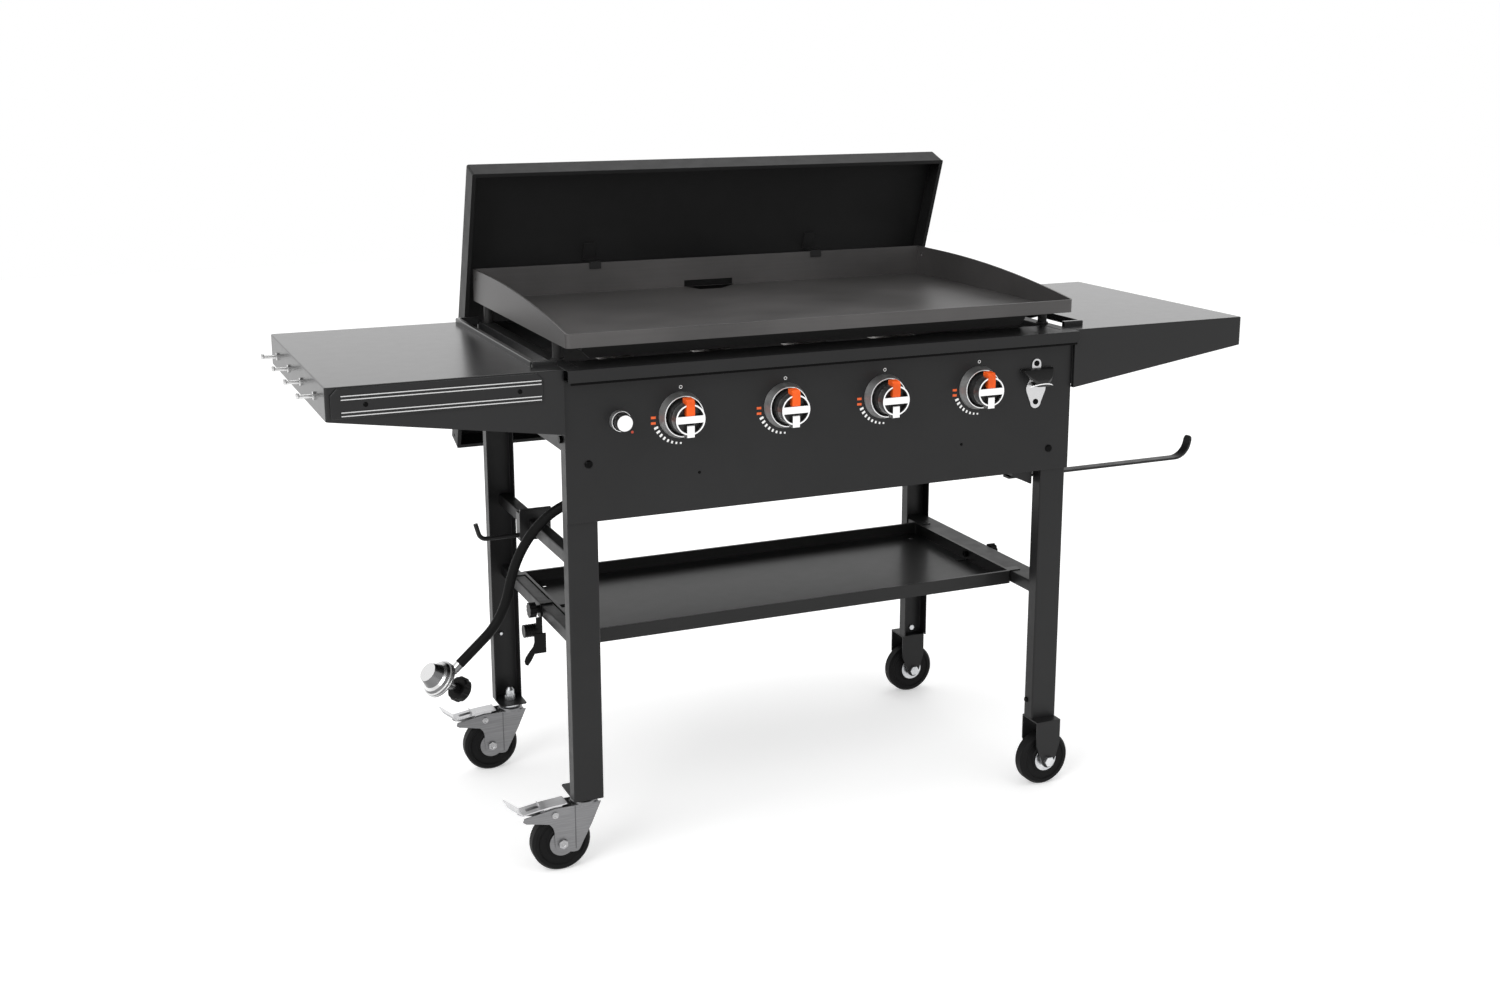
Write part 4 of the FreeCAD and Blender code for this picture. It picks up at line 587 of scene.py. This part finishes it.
def printed_bar(x, z, length, height, angle):
    # A slab of paint on the panel, with the edge of its front face eased.
    bar = block("bar", at(x, FRONT_PANEL_Y, z) + TOWARDS_FRONT * PAINT / 2,
                (length * MM, PAINT, height * MM), rotation=(0, -angle, 0))
    bpy.ops.object.mode_set(mode="EDIT")
    pick_faces(bar, looks_forwards)
    bpy.ops.mesh.inset(thickness=BAR_EDGE * MM, depth=BAR_CROWN * MM)
    bpy.ops.object.mode_set(mode="OBJECT")
    return bar


TICK_RADIUS = 46.0
ORANGE_DROPS, ORANGE_TILT = (1.0, 10.0), -0.02
orange_set = [printed_bar(KNOB_X[0] - TICK_RADIUS - 1, KNOB_Z - drop, 8.0, 4.0, ORANGE_TILT)
              for drop in ORANGE_DROPS]
print("orange bars", len(orange_set))

# %% Marks: the white bars of one knob
WHITE_BARS, FIRST_TURN, TURN_STEP = 8, 203, 9.4
LONGEST, LENGTH_LOST = 7.0, 4.0
TALLEST, HEIGHT_LOST = 3.8, 0.9

white_set = []
for i in range(WHITE_BARS):
    turn = math.radians(FIRST_TURN + i * TURN_STEP)
    share = i / (WHITE_BARS - 1)
    white_set.append(printed_bar(
        KNOB_X[0] + TICK_RADIUS * math.cos(turn), KNOB_Z + TICK_RADIUS * math.sin(turn),
        LONGEST - LENGTH_LOST * share, TALLEST - HEIGHT_LOST * share, turn))
print("white bars", len(white_set))


# %% Marks: one piece, copied to the other three knobs
def merged(name, pieces):
    bpy.ops.object.select_all(action="DESELECT")
    for piece in pieces:
        piece.select_set(True)
    bpy.context.view_layer.objects.active = pieces[0]
    bpy.ops.object.join()
    return settle(bpy.context.view_layer.objects.active, name)


def copied(piece, shift):
    # A copy with a mesh of its own, moved inside the mesh.
    only(piece)
    bpy.ops.object.duplicate(linked=False)
    twin = bpy.context.view_layer.objects.active
    twin.location = shift
    return settle(twin, piece.name)


def along_the_panel(first, name):
    row = [first] + [copied(first, ((x - KNOB_X[0]) * MM, 0, 0)) for x in KNOB_X[1:]]
    return merged(name, row)


flame_orange = along_the_panel(merged("marks_orange", orange_set), "marks_orange")
flame_white = along_the_panel(merged("marks_white", white_set), "marks_white")
print("faces", len(flame_orange.data.polygons), len(flame_white.data.polygons))

# %% Marks: the off ring and the igniter dot
DISC_SIDES = 24
FACING_FRONT = (math.pi / 2, 0, 0)


def pull_out(shift):
    # Extrudes what is selected and moves the new end.
    bpy.ops.mesh.extrude_region_move(TRANSFORM_OT_translate={"value": shift})


def printed_disc(x, z, radius, name, hole=0.0):
    # A disc of paint. With a hole, the middle is inset and taken out before it gets its thickness.
    bpy.ops.object.select_all(action="DESELECT")
    bpy.ops.mesh.primitive_circle_add(vertices=DISC_SIDES, radius=radius * MM, fill_type="NGON",
                                      location=at(x, FRONT_PANEL_Y, z), rotation=FACING_FRONT)
    disc = settle(bpy.context.object, name)
    bpy.ops.object.mode_set(mode="EDIT")
    bpy.ops.mesh.select_all(action="SELECT")
    if hole:
        bpy.ops.mesh.inset(thickness=(radius - hole) * MM)
        bpy.ops.mesh.delete(type="FACE")
        bpy.ops.mesh.select_all(action="SELECT")
    pull_out(TOWARDS_FRONT * PAINT)
    bpy.ops.mesh.select_all(action="SELECT")
    bpy.ops.mesh.normals_make_consistent(inside=False)
    bpy.ops.object.mode_set(mode="OBJECT")
    return disc


OFF_RISE, OFF_RADIUS, OFF_HOLE = 45, 2.9, 1.8
DOT_X, DOT_Z, DOT_RADIUS = -353.8, 739.2, 2.2
off_rings = along_the_panel(
    printed_disc(KNOB_X[0], KNOB_Z + OFF_RISE, OFF_RADIUS, "marks_off", OFF_HOLE), "marks_off")
igniter_dot = printed_disc(DOT_X, DOT_Z, DOT_RADIUS, "mark_igniter")
print("off rings", len(KNOB_X), "faces", len(off_rings.data.polygons))


# %% Marks: ink
def print_ink(name, colour):
    finish, tree, shader = new_finish(name, colour, roughness=0.45)
    thin = tuple(c * 0.94 for c in colour)
    tint(tree, shader, noise(tree, scale=200.0, detail=3.0), thin, colour)
    return finish


paint(print_ink("white_ink", (0.95, 0.95, 0.94)), "marks_white", "marks_off")
paint(print_ink("orange_ink", (0.88, 0.13, 0.02)), "marks_orange")
paint(print_ink("red_ink", (0.62, 0.06, 0.02)), "mark_igniter")
for piece in (flame_orange, flame_white, off_rings, igniter_dot):
    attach(piece, "stand")

# %% [markdown]
# ## Bezels
#
# Round each knob stands a spun metal ring: a cone that leans inwards, a narrow rolled lip and a
# wall that goes back down to the panel. It could be drawn as a profile and lathed, but a circle
# that is extruded forwards and scaled again and again gives the same ring in the order in which
# a spinning lathe presses it, and each step stays a plain number. The last loop is bridged to
# the first, so the ring is closed behind. The ring of the igniter is made the same way.

# %% Bezels: a ring pressed out of a circle
RING_SIDES = 72


def spun_ring(x, profile, name, sides=RING_SIDES):
    # Each step of the profile is a radius and a depth. The ring stands round a button's axis.
    radius, y = profile[0]
    bpy.ops.object.select_all(action="DESELECT")
    bpy.ops.mesh.primitive_circle_add(vertices=sides, radius=radius * MM, fill_type="NOTHING",
                                      location=at(x, y, KNOB_Z), rotation=FACING_FRONT)
    ring = settle(bpy.context.object, name)
    bpy.ops.object.mode_set(mode="EDIT")
    bpy.ops.mesh.select_mode(type="EDGE")
    bpy.ops.mesh.select_all(action="SELECT")
    for next_radius, next_y in profile[1:]:
        step = (0, (next_y - y) * MM, 0)
        bpy.ops.mesh.extrude_edges_move(TRANSFORM_OT_translate={"value": step})
        grow = next_radius / radius
        bpy.ops.transform.resize(value=(grow, 1, grow), center_override=at(x, next_y, KNOB_Z))
        radius, y = next_radius, next_y
    bpy.ops.mesh.select_all(action="SELECT")
    bpy.ops.mesh.region_to_loop()
    bpy.ops.mesh.bridge_edge_loops()
    bpy.ops.mesh.select_all(action="SELECT")
    bpy.ops.mesh.normals_make_consistent(inside=False)
    bpy.ops.object.mode_set(mode="OBJECT")
    only(ring)
    bpy.ops.object.shade_smooth_by_angle(angle=math.radians(28))
    return ring


KNOB_BEZEL = [(38.0, 5.0), (37.6, 3.8), (33.6, -9.8), (33.4, -10.7), (32.9, -11.0), (31.8, -11.0),
              (31.5, -10.4), (30.6, 5.0)]
knob_bezels = along_the_panel(spun_ring(KNOB_X[0], KNOB_BEZEL, "knob_bezels"), "knob_bezels")
print("bezel depth", KNOB_BEZEL[0][1] - min(y for radius, y in KNOB_BEZEL))

# %% Bezels: the igniter's ring
IGNITER_X = -374.5
IGNITER_SIDES = 48
IGNITER_BEZEL = [(17.0, 5.0), (16.6, -4.8), (16.3, -5.5), (15.5, -5.7), (15.1, -5.2), (14.9, 5.0)]
igniter_bezel = spun_ring(IGNITER_X, IGNITER_BEZEL, "igniter_bezel", IGNITER_SIDES)
bezels = merged("bezels", [knob_bezels, igniter_bezel])
paint(turned_chrome, "bezels")
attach(bezels, "stand")
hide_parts("panel_bezels")

# %% [markdown]
# ## Sleeve of the igniter button
#
# A black sleeve with fine flutes stands round the bright button and moves with it. It is spun
# like the bezels. The flutes could be cut into it one by one, but a ring with 48 sides already
# has them: some of its outer faces are inset a little, and the rest stay as ribs.

# %% Sleeve of the igniter button
BUTTON_FRONT = -21.0
BUTTON_SLEEVE = [(14.05, 5.0), (14.05, BUTTON_FRONT + 1.0), (13.7, BUTTON_FRONT - 0.15),
                 (12.9, BUTTON_FRONT - 0.15), (12.7, BUTTON_FRONT + 0.2), (12.7, 5.0)]
SIDE_TURN = 360 / IGNITER_SIDES


def fluted(centre, normal):
    side = int(round(math.degrees(math.atan2(normal.z, normal.x)) / SIDE_TURN))
    outwards = normal.dot(centre - at(IGNITER_X, 0, KNOB_Z)) > 0
    return abs(normal.y) < 0.3 and outwards and side % 2 == 0


sleeve = spun_ring(IGNITER_X, BUTTON_SLEEVE, "igniter_sleeve", IGNITER_SIDES)
bpy.ops.object.mode_set(mode="EDIT")
pick_faces(sleeve, fluted)
bpy.ops.mesh.inset(thickness=0.2 * MM, depth=-0.15 * MM, use_individual=True)
bpy.ops.object.mode_set(mode="OBJECT")
paint(knob_plastic, "igniter_sleeve")
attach(sleeve, "igniter")

# %% [markdown]
# ## Axle bolts and rivets
#
# On each swivel fork a bright hexagon head holds the axle, and a round rivet head holds the
# pedal. A texture can't give them their shine from every side, so they are modelled. A six-sided
# cylinder is the head. Its front face is inset and pushed out a little, which gives the turned
# chamfer of a real bolt, and a second inset sinks the mark in its middle.

# %% Axle bolts and rivets
CHAMFER, CHAMFER_RISE, FLAT, DIMPLE = 0.12, 0.06, 0.14, 0.05


def bolt_head(x, y, z, across, height, name, sides=6):
    bpy.ops.object.select_all(action="DESELECT")
    bpy.ops.mesh.primitive_cylinder_add(vertices=sides, radius=across / math.sqrt(3) * MM,
                                        depth=height * MM, location=at(x, y - height / 2, z),
                                        rotation=FACING_FRONT)
    head = settle(bpy.context.object, name)
    bpy.ops.object.mode_set(mode="EDIT")
    pick_faces(head, looks_forwards)
    bpy.ops.mesh.inset(thickness=across * CHAMFER * MM, depth=across * CHAMFER_RISE * MM)
    bpy.ops.mesh.inset(thickness=across * FLAT * MM, depth=0)
    bpy.ops.mesh.inset(thickness=across * DIMPLE * MM, depth=-across * DIMPLE * MM)
    bpy.ops.object.mode_set(mode="OBJECT")
    only(head)
    bpy.ops.object.shade_smooth_by_angle(angle=math.radians(25))
    return head


AXLE_X, AXLE_Z, AXLE_ACROSS, AXLE_HEIGHT = -478.0, 50.0, 14.6, 4.6
RIVET_X, RIVET_Z, RIVET_ACROSS, RIVET_HEIGHT, RIVET_SIDES = -489.8, 102.2, 10.2, 2.0, 20
FORK_CHEEKS = {"caster_front": 30.0, "caster_rear": 472.0}
bolt_zinc = pressed_zinc("bright_bolt_zinc", (0.34, 0.34, 0.345), (0.46, 0.46, 0.465),
                         roughness=0.24, stretch=(1, 1, 1), line_scale=200.0)
for body, cheek_y in FORK_CHEEKS.items():
    head = bolt_head(AXLE_X, cheek_y, AXLE_Z, AXLE_ACROSS, AXLE_HEIGHT, "head")
    rivet = bolt_head(RIVET_X, cheek_y, RIVET_Z, RIVET_ACROSS, RIVET_HEIGHT, "rivet", RIVET_SIDES)
    hardware = merged("hardware_" + body, [head, rivet])
    paint(bolt_zinc, hardware.name)
    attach(hardware, body)

# %% [markdown]
# ## Folds in the sheet metal, with painted shadow and painted shade
#
# Three folds are too fine for the solids. Under the top rail the sheet is folded back, and the
# shadow under the fold draws a thin black line, which a black strip paints in as painted shadow.
# The front cheek of each fork is folded along an upright line, which shows as a low rib; the rib is
# real, and its colour, darker than the cheek, is painted shade along the bend. At the right end of
# the panel a narrow return closes the joint to the shelf. Each could be cut into its sheet, but the
# solids stay as they are, so a slim strip with eased edges lies on the sheet at each fold.

# %% Painted shadow under the top rail
STRIP_EDGE = 0.25
RAIL_SHADOW_STRIP = (-460, -17.4, 825.4), (460, -16.4, 829.4)


def slim_strip(low, high, name):
    # A bar between two corners of the drawing, with its edges eased.
    middle = [(a + b) / 2 for a, b in zip(low, high)]
    strip = block(name, at(*middle), [(b - a) * MM for a, b in zip(low, high)])
    bpy.ops.object.mode_set(mode="EDIT")
    bpy.ops.mesh.select_all(action="SELECT")
    bpy.ops.mesh.bevel(offset=STRIP_EDGE * MM, segments=2, affect="EDGES")
    bpy.ops.object.mode_set(mode="OBJECT")
    return strip


# A black strip under the rail's front edge is painted shadow under the folded-back sheet.
rail_shadow_strip = slim_strip(*RAIL_SHADOW_STRIP, "rail_shadow_strip")
paint(bolt_black, "rail_shadow_strip")
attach(rail_shadow_strip, "stand")

# %% Fork creases, with painted shade
CREASE_LEFT, CREASE_RIGHT, CREASE_LOW, CREASE_HIGH, CREASE_RISE = -456.4, -454.8, 37.0, 111.5, 0.6
# The strip stands a little proud as a low rib, and its zinc, darker than the fork's, is painted
# shade along the bend.
crease_shade_zinc = pressed_zinc("crease_shade_zinc", (0.11, 0.11, 0.113), (0.15, 0.15, 0.153),
                           roughness=0.40, stretch=(1, 1, 0.05), line_scale=300.0)
for body, cheek_y in FORK_CHEEKS.items():
    crease = slim_strip((CREASE_LEFT, cheek_y - CREASE_RISE, CREASE_LOW),
                        (CREASE_RIGHT, cheek_y, CREASE_HIGH), "crease_" + body)
    paint(crease_shade_zinc, crease.name)
    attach(crease, body)

# %% Panel return
PANEL_RETURN = (464.2, 3.4, 746.5), (470.5, 5.0, 848.5)
panel_return = slim_strip(*PANEL_RETURN, "panel_return")
paint(body_coat, "panel_return")
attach(panel_return, "stand")

# %% [markdown]
# ## Lip of the bottle opener, with a painted highlight
#
# The opener's hood ends in an arched lip that catches the cap, and a bright line runs along its
# edge. A bright chrome strip round the hood's front paints that line in: a painted highlight. It
# could be a curve with a thickness, but a small bar that is pulled out in steps round the hood's
# front keeps its square edges. The steps also rise a little towards the middle, where the lip
# arches.

# %% Lip of the bottle opener, a painted highlight
OPENER_X, HOOD_MIDDLE_Y, HOOD_RADIUS = 391.4, 10.0, 33.2
LIP_HALF_ANGLE, LIP_STEPS = math.radians(44), 14
LIP_END_Z, LIP_RISE = KNOB_Z - 3.4, 5.5
LIP_SECTION = (0.4 * MM, 1.2 * MM, 1.8 * MM)


def lip_place(share):
    # A point of the lip, from its left end at 0 to its right end at 1.
    turn = (share * 2 - 1) * LIP_HALF_ANGLE
    return at(OPENER_X + HOOD_RADIUS * math.sin(turn), HOOD_MIDDLE_Y - HOOD_RADIUS * math.cos(turn),
              LIP_END_Z + LIP_RISE * math.cos(turn * math.pi / 2 / LIP_HALF_ANGLE))


lip = block("opener_lip_highlight", lip_place(0), LIP_SECTION, rotation=(0, 0, -LIP_HALF_ANGLE))
bpy.ops.object.mode_set(mode="EDIT")
pick_faces(lip, lambda centre, normal: normal.x > 0.5)
for step in range(LIP_STEPS):
    start, end = lip_place(step / LIP_STEPS), lip_place((step + 1) / LIP_STEPS)
    pull_out(end - start)
    bpy.ops.transform.rotate(value=-2 * LIP_HALF_ANGLE / LIP_STEPS, orient_axis="Z",
                             center_override=end)
bpy.ops.object.mode_set(mode="OBJECT")
# Bright chrome on this strip is a painted highlight along the hood's edge.
paint(button_chrome, "opener_lip_highlight")
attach(lip, "stand")
across = [corner.co.x for corner in lip.data.vertices]
print("lip width %.4f" % (max(across) - min(across)))

# %% [markdown]
# ## Paper towel bar
#
# The towel bar is a flat steel strip, bent up at its free end so that the roll can't slide off,
# and welded to a small channel under the panel. A flat profile could be drawn along a curve, but
# a mesh lets the tip be narrowed as well. A block is made as long as the straight run, and its
# end face is pulled out step by step and turned a little at each step of the bend. Three
# shorter steps round the tip.

# %% Towel bar: the strip
TOWEL_Y, TOWEL_Z = 46.0, 583.5
STRIP_WIDTH, STRIP_THICK = 19.0, 4.0
STRIP_START, BEND_START, BEND_RADIUS = 363.0, 724.0, 33.0
BEND_STEPS, BEND_TURN = 12, math.radians(78)
TIP_STEPS = ((6.0, 1.0), (5.0, 0.82), (2.4, 0.5))

towel_bar = block("towel_bar", at((STRIP_START + BEND_START) / 2, TOWEL_Y, TOWEL_Z),
                  ((BEND_START - STRIP_START) * MM, STRIP_WIDTH * MM, STRIP_THICK * MM))
bpy.ops.object.mode_set(mode="EDIT")
pick_faces(towel_bar, lambda centre, normal: normal.x > 0.9)
for step in range(BEND_STEPS):
    middle = (step + 0.5) * BEND_TURN / BEND_STEPS
    run = 2 * BEND_RADIUS * math.sin(BEND_TURN / BEND_STEPS / 2) * MM
    pull_out((run * math.cos(middle), 0, run * math.sin(middle)))
    turned = (step + 1) * BEND_TURN / BEND_STEPS
    end = at(BEND_START + BEND_RADIUS * math.sin(turned), TOWEL_Y,
             TOWEL_Z + BEND_RADIUS * (1 - math.cos(turned)))
    bpy.ops.transform.rotate(value=BEND_TURN / BEND_STEPS, orient_axis="Y", center_override=end)
for length, width in TIP_STEPS:
    pull_out((length * MM * math.cos(BEND_TURN), 0, length * MM * math.sin(BEND_TURN)))
    bpy.ops.transform.resize(value=(1, width, 1))
bpy.ops.object.mode_set(mode="OBJECT")
reach = max(corner.co.x for corner in towel_bar.data.vertices)
top = max(corner.co.z for corner in towel_bar.data.vertices)
print("towel bar reaches x %.4f z %.4f" % (reach, top))

# %% Towel bar: the tapered channel
CHANNEL_MIDDLE, CHANNEL_SIZE = (384.0, 45.0, 585.5), (40, 38, 29)
CHANNEL_WALL, CHANNEL_DEPTH = 2.2, 25.5
TAPER_BELOW_Z, TAPER_LEFT_OF_X, TAPER_RISE = 575, 370, 17

channel = block("channel", at(*CHANNEL_MIDDLE), [size * MM for size in CHANNEL_SIZE])
bpy.ops.object.mode_set(mode="EDIT")
pick_faces(channel, lambda centre, normal: normal.z < -0.9)
bpy.ops.mesh.inset(thickness=CHANNEL_WALL * MM, depth=0)
pull_out((0, 0, CHANNEL_DEPTH * MM))
bpy.ops.mesh.select_mode(type="VERT")
bpy.ops.mesh.select_all(action="DESELECT")
bpy.ops.object.mode_set(mode="OBJECT")
limit = at(TAPER_LEFT_OF_X, 0, TAPER_BELOW_Z)
for corner in channel.data.vertices:
    corner.select = corner.co.z < limit.z and corner.co.x < limit.x
bpy.ops.object.mode_set(mode="EDIT")
bpy.ops.transform.translate(value=(0, 0, TAPER_RISE * MM))
bpy.ops.object.mode_set(mode="OBJECT")
towel_holder = merged("towel_strip_holder", [towel_bar, channel])
towel_coat = powder_coat("towel_bar_coat", (0.008, 0.008, 0.0083), roughness=0.36,
                         specular=0.28, grain=0.00002)
paint(towel_coat, towel_holder.name)
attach(towel_holder, "stand")
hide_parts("towel_holder")

# %% [markdown]
# ## Painted shadow at the grease outlet
#
# Grease runs to the slot in the rear wall, an open chute, and the floor in front of it lies in its
# shade. That shade could be painted into the plate's material, but then it would have no edge. A
# black patch of its own, a fifth of a millimetre thick, is the painted shadow, and narrows towards
# the front.

# %% Painted shadow at the grease outlet
FLOOR_TOP, PATCH_THICKNESS = 883.0, 0.2
REAR_LEFT, REAR_RIGHT, REAR_Y = -47.0, 52.0, 551.6
FRONT_LEFT, FRONT_RIGHT, FRONT_Y = -35.0, 8.0, 509.5

# A flat black patch on the plate's floor in front of the slot: painted shadow of the open chute.
shadow_patch = block("outlet_shadow_patch",
             at((REAR_LEFT + REAR_RIGHT) / 2, (REAR_Y + FRONT_Y) / 2, FLOOR_TOP + PATCH_THICKNESS / 2),
             ((REAR_RIGHT - REAR_LEFT) * MM, (REAR_Y - FRONT_Y) * MM, PATCH_THICKNESS * MM))
bpy.ops.object.mode_set(mode="EDIT")
pick_faces(shadow_patch, looks_forwards)
bpy.ops.transform.resize(value=((FRONT_RIGHT - FRONT_LEFT) / (REAR_RIGHT - REAR_LEFT), 1, 1))
sideways = (FRONT_LEFT + FRONT_RIGHT - REAR_LEFT - REAR_RIGHT) / 2 * MM
bpy.ops.transform.translate(value=(sideways, 0, 0))
bpy.ops.object.mode_set(mode="OBJECT")
# Near-black finish for the painted shadow.
outlet_shadow_finish = moulded("outlet_shadow_black", grey(0.0012), 0.5, grain_scale=300.0, grain_depth=0.00002,
                edge=0.0, specular=0.03)
paint(outlet_shadow_finish, "outlet_shadow_patch")
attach(shadow_patch, "griddle")

# %% [markdown]
# ## Floor
#
# The photograph has a white ground with hardly any shadow. A lamp strong enough to make a pale
# floor quite white would bleach the griddle. So the floor glows a little, but only for rays that
# come from the camera, a mirror or glass, and the glow lights nothing.

# %% Floor
FLOOR_SIZE, FLOOR_GLOW = 16, 0.38


def combined(tree, operation, first, second):
    # One number out of two.
    made = tree.nodes.new("ShaderNodeMath")
    made.operation = operation
    tree.links.new(first, made.inputs[0])
    tree.links.new(second, made.inputs[1])
    return made.outputs["Value"]


def seen(tree):
    # One for rays that come from the camera, a mirror or glass, and nothing for the light itself.
    paths = tree.nodes.new("ShaderNodeLightPath")
    total = paths.outputs["Is Camera Ray"]
    for way in ("Is Glossy Ray", "Is Transmission Ray"):
        total = combined(tree, "MAXIMUM", total, paths.outputs[way])
    return total


bpy.ops.object.select_all(action="DESELECT")
bpy.ops.mesh.primitive_plane_add(size=FLOOR_SIZE, location=(0, 0, 0))
floor = bpy.context.object
floor.name = "studio_floor"
floor_finish, floor_tree, floor_shader = new_finish("studio_white", grey(0.86), 0.9, specular=0.0)
tint(floor_tree, floor_shader, noise(floor_tree, scale=2.0), grey(0.85), grey(0.87))
floor_shader.inputs["Emission Color"].default_value = (1, 1, 1, 1)
glow = between(floor_tree, seen(floor_tree), 0.0, FLOOR_GLOW, start=0.0, end=1.0)
floor_tree.links.new(glow, floor_shader.inputs["Emission Strength"])
floor.data.materials.append(floor_finish)
print("floor", FLOOR_SIZE, "m")

# %% [markdown]
# ## World
#
# Black powder coat mirrors what is round it, so the white room is also what draws the shapes.
# It could be built from walls, but a world colour does the same without a mesh. Overhead the
# room is darker, as in a studio, and only what a shiny surface mirrors shows it.

# %% World
ROOM_LIGHT, ROOM_SEEN = 0.85, 1.0
OVERHEAD_DIMMING = 0.75

world = bpy.data.worlds.new("white_room")
world.use_nodes = True
bpy.context.scene.world = world
sky = world.node_tree
back = sky.nodes["Background"]
back.inputs["Color"].default_value = (1, 1, 1, 1)
strength = between(sky, seen(sky), ROOM_LIGHT, ROOM_SEEN, start=0.0, end=1.0)
direction = sky.nodes.new("ShaderNodeTexCoord")
upwards = sky.nodes.new("ShaderNodeSeparateXYZ")
sky.links.new(direction.outputs["Generated"], upwards.inputs["Vector"])
overhead = between(sky, upwards.outputs["Z"], 0.0, OVERHEAD_DIMMING, start=0.50, end=0.85)
mirrored = combined(sky, "MULTIPLY", overhead, sky.nodes["Light Path"].outputs["Is Glossy Ray"])
left_over = between(sky, mirrored, 1.0, 0.0, start=0.0, end=1.0)
sky.links.new(combined(sky, "MULTIPLY", strength, left_over), back.inputs["Strength"])
print("room light", ROOM_LIGHT)

# %% [markdown]
# ## Lamps
#
# One broad lamp from the front left and a weaker one from above add the soft differences between
# the faces. A sun would draw hard shadows that the photograph doesn't have.

# %% Lamps
def soft_lamp(name, place, aim, size, power):
    light = bpy.data.lights.new(name, "AREA")
    light.shape = "SQUARE"
    light.size = size
    light.energy = power
    lamp = bpy.data.objects.new(name, light)
    lamp.location = place
    lamp.rotation_euler = (Vector(aim) - Vector(place)).to_track_quat("-Z", "Y").to_euler()
    bpy.context.collection.objects.link(lamp)
    print(name, power, "W")


soft_lamp("key_lamp", place=(-3.1, -2.2, 2.9), aim=(0, 0, 0.6), size=2.2, power=62)
soft_lamp("top_lamp", place=(0.6, 0.4, 3.6), aim=(0, 0, 0.8), size=2.6, power=40)
bpy.context.scene.view_settings.view_transform = "Standard"

# %% [markdown]
#
# At the end the view layer is brought up to date, so that every piece stands where it was put.

bpy.context.view_layer.update()
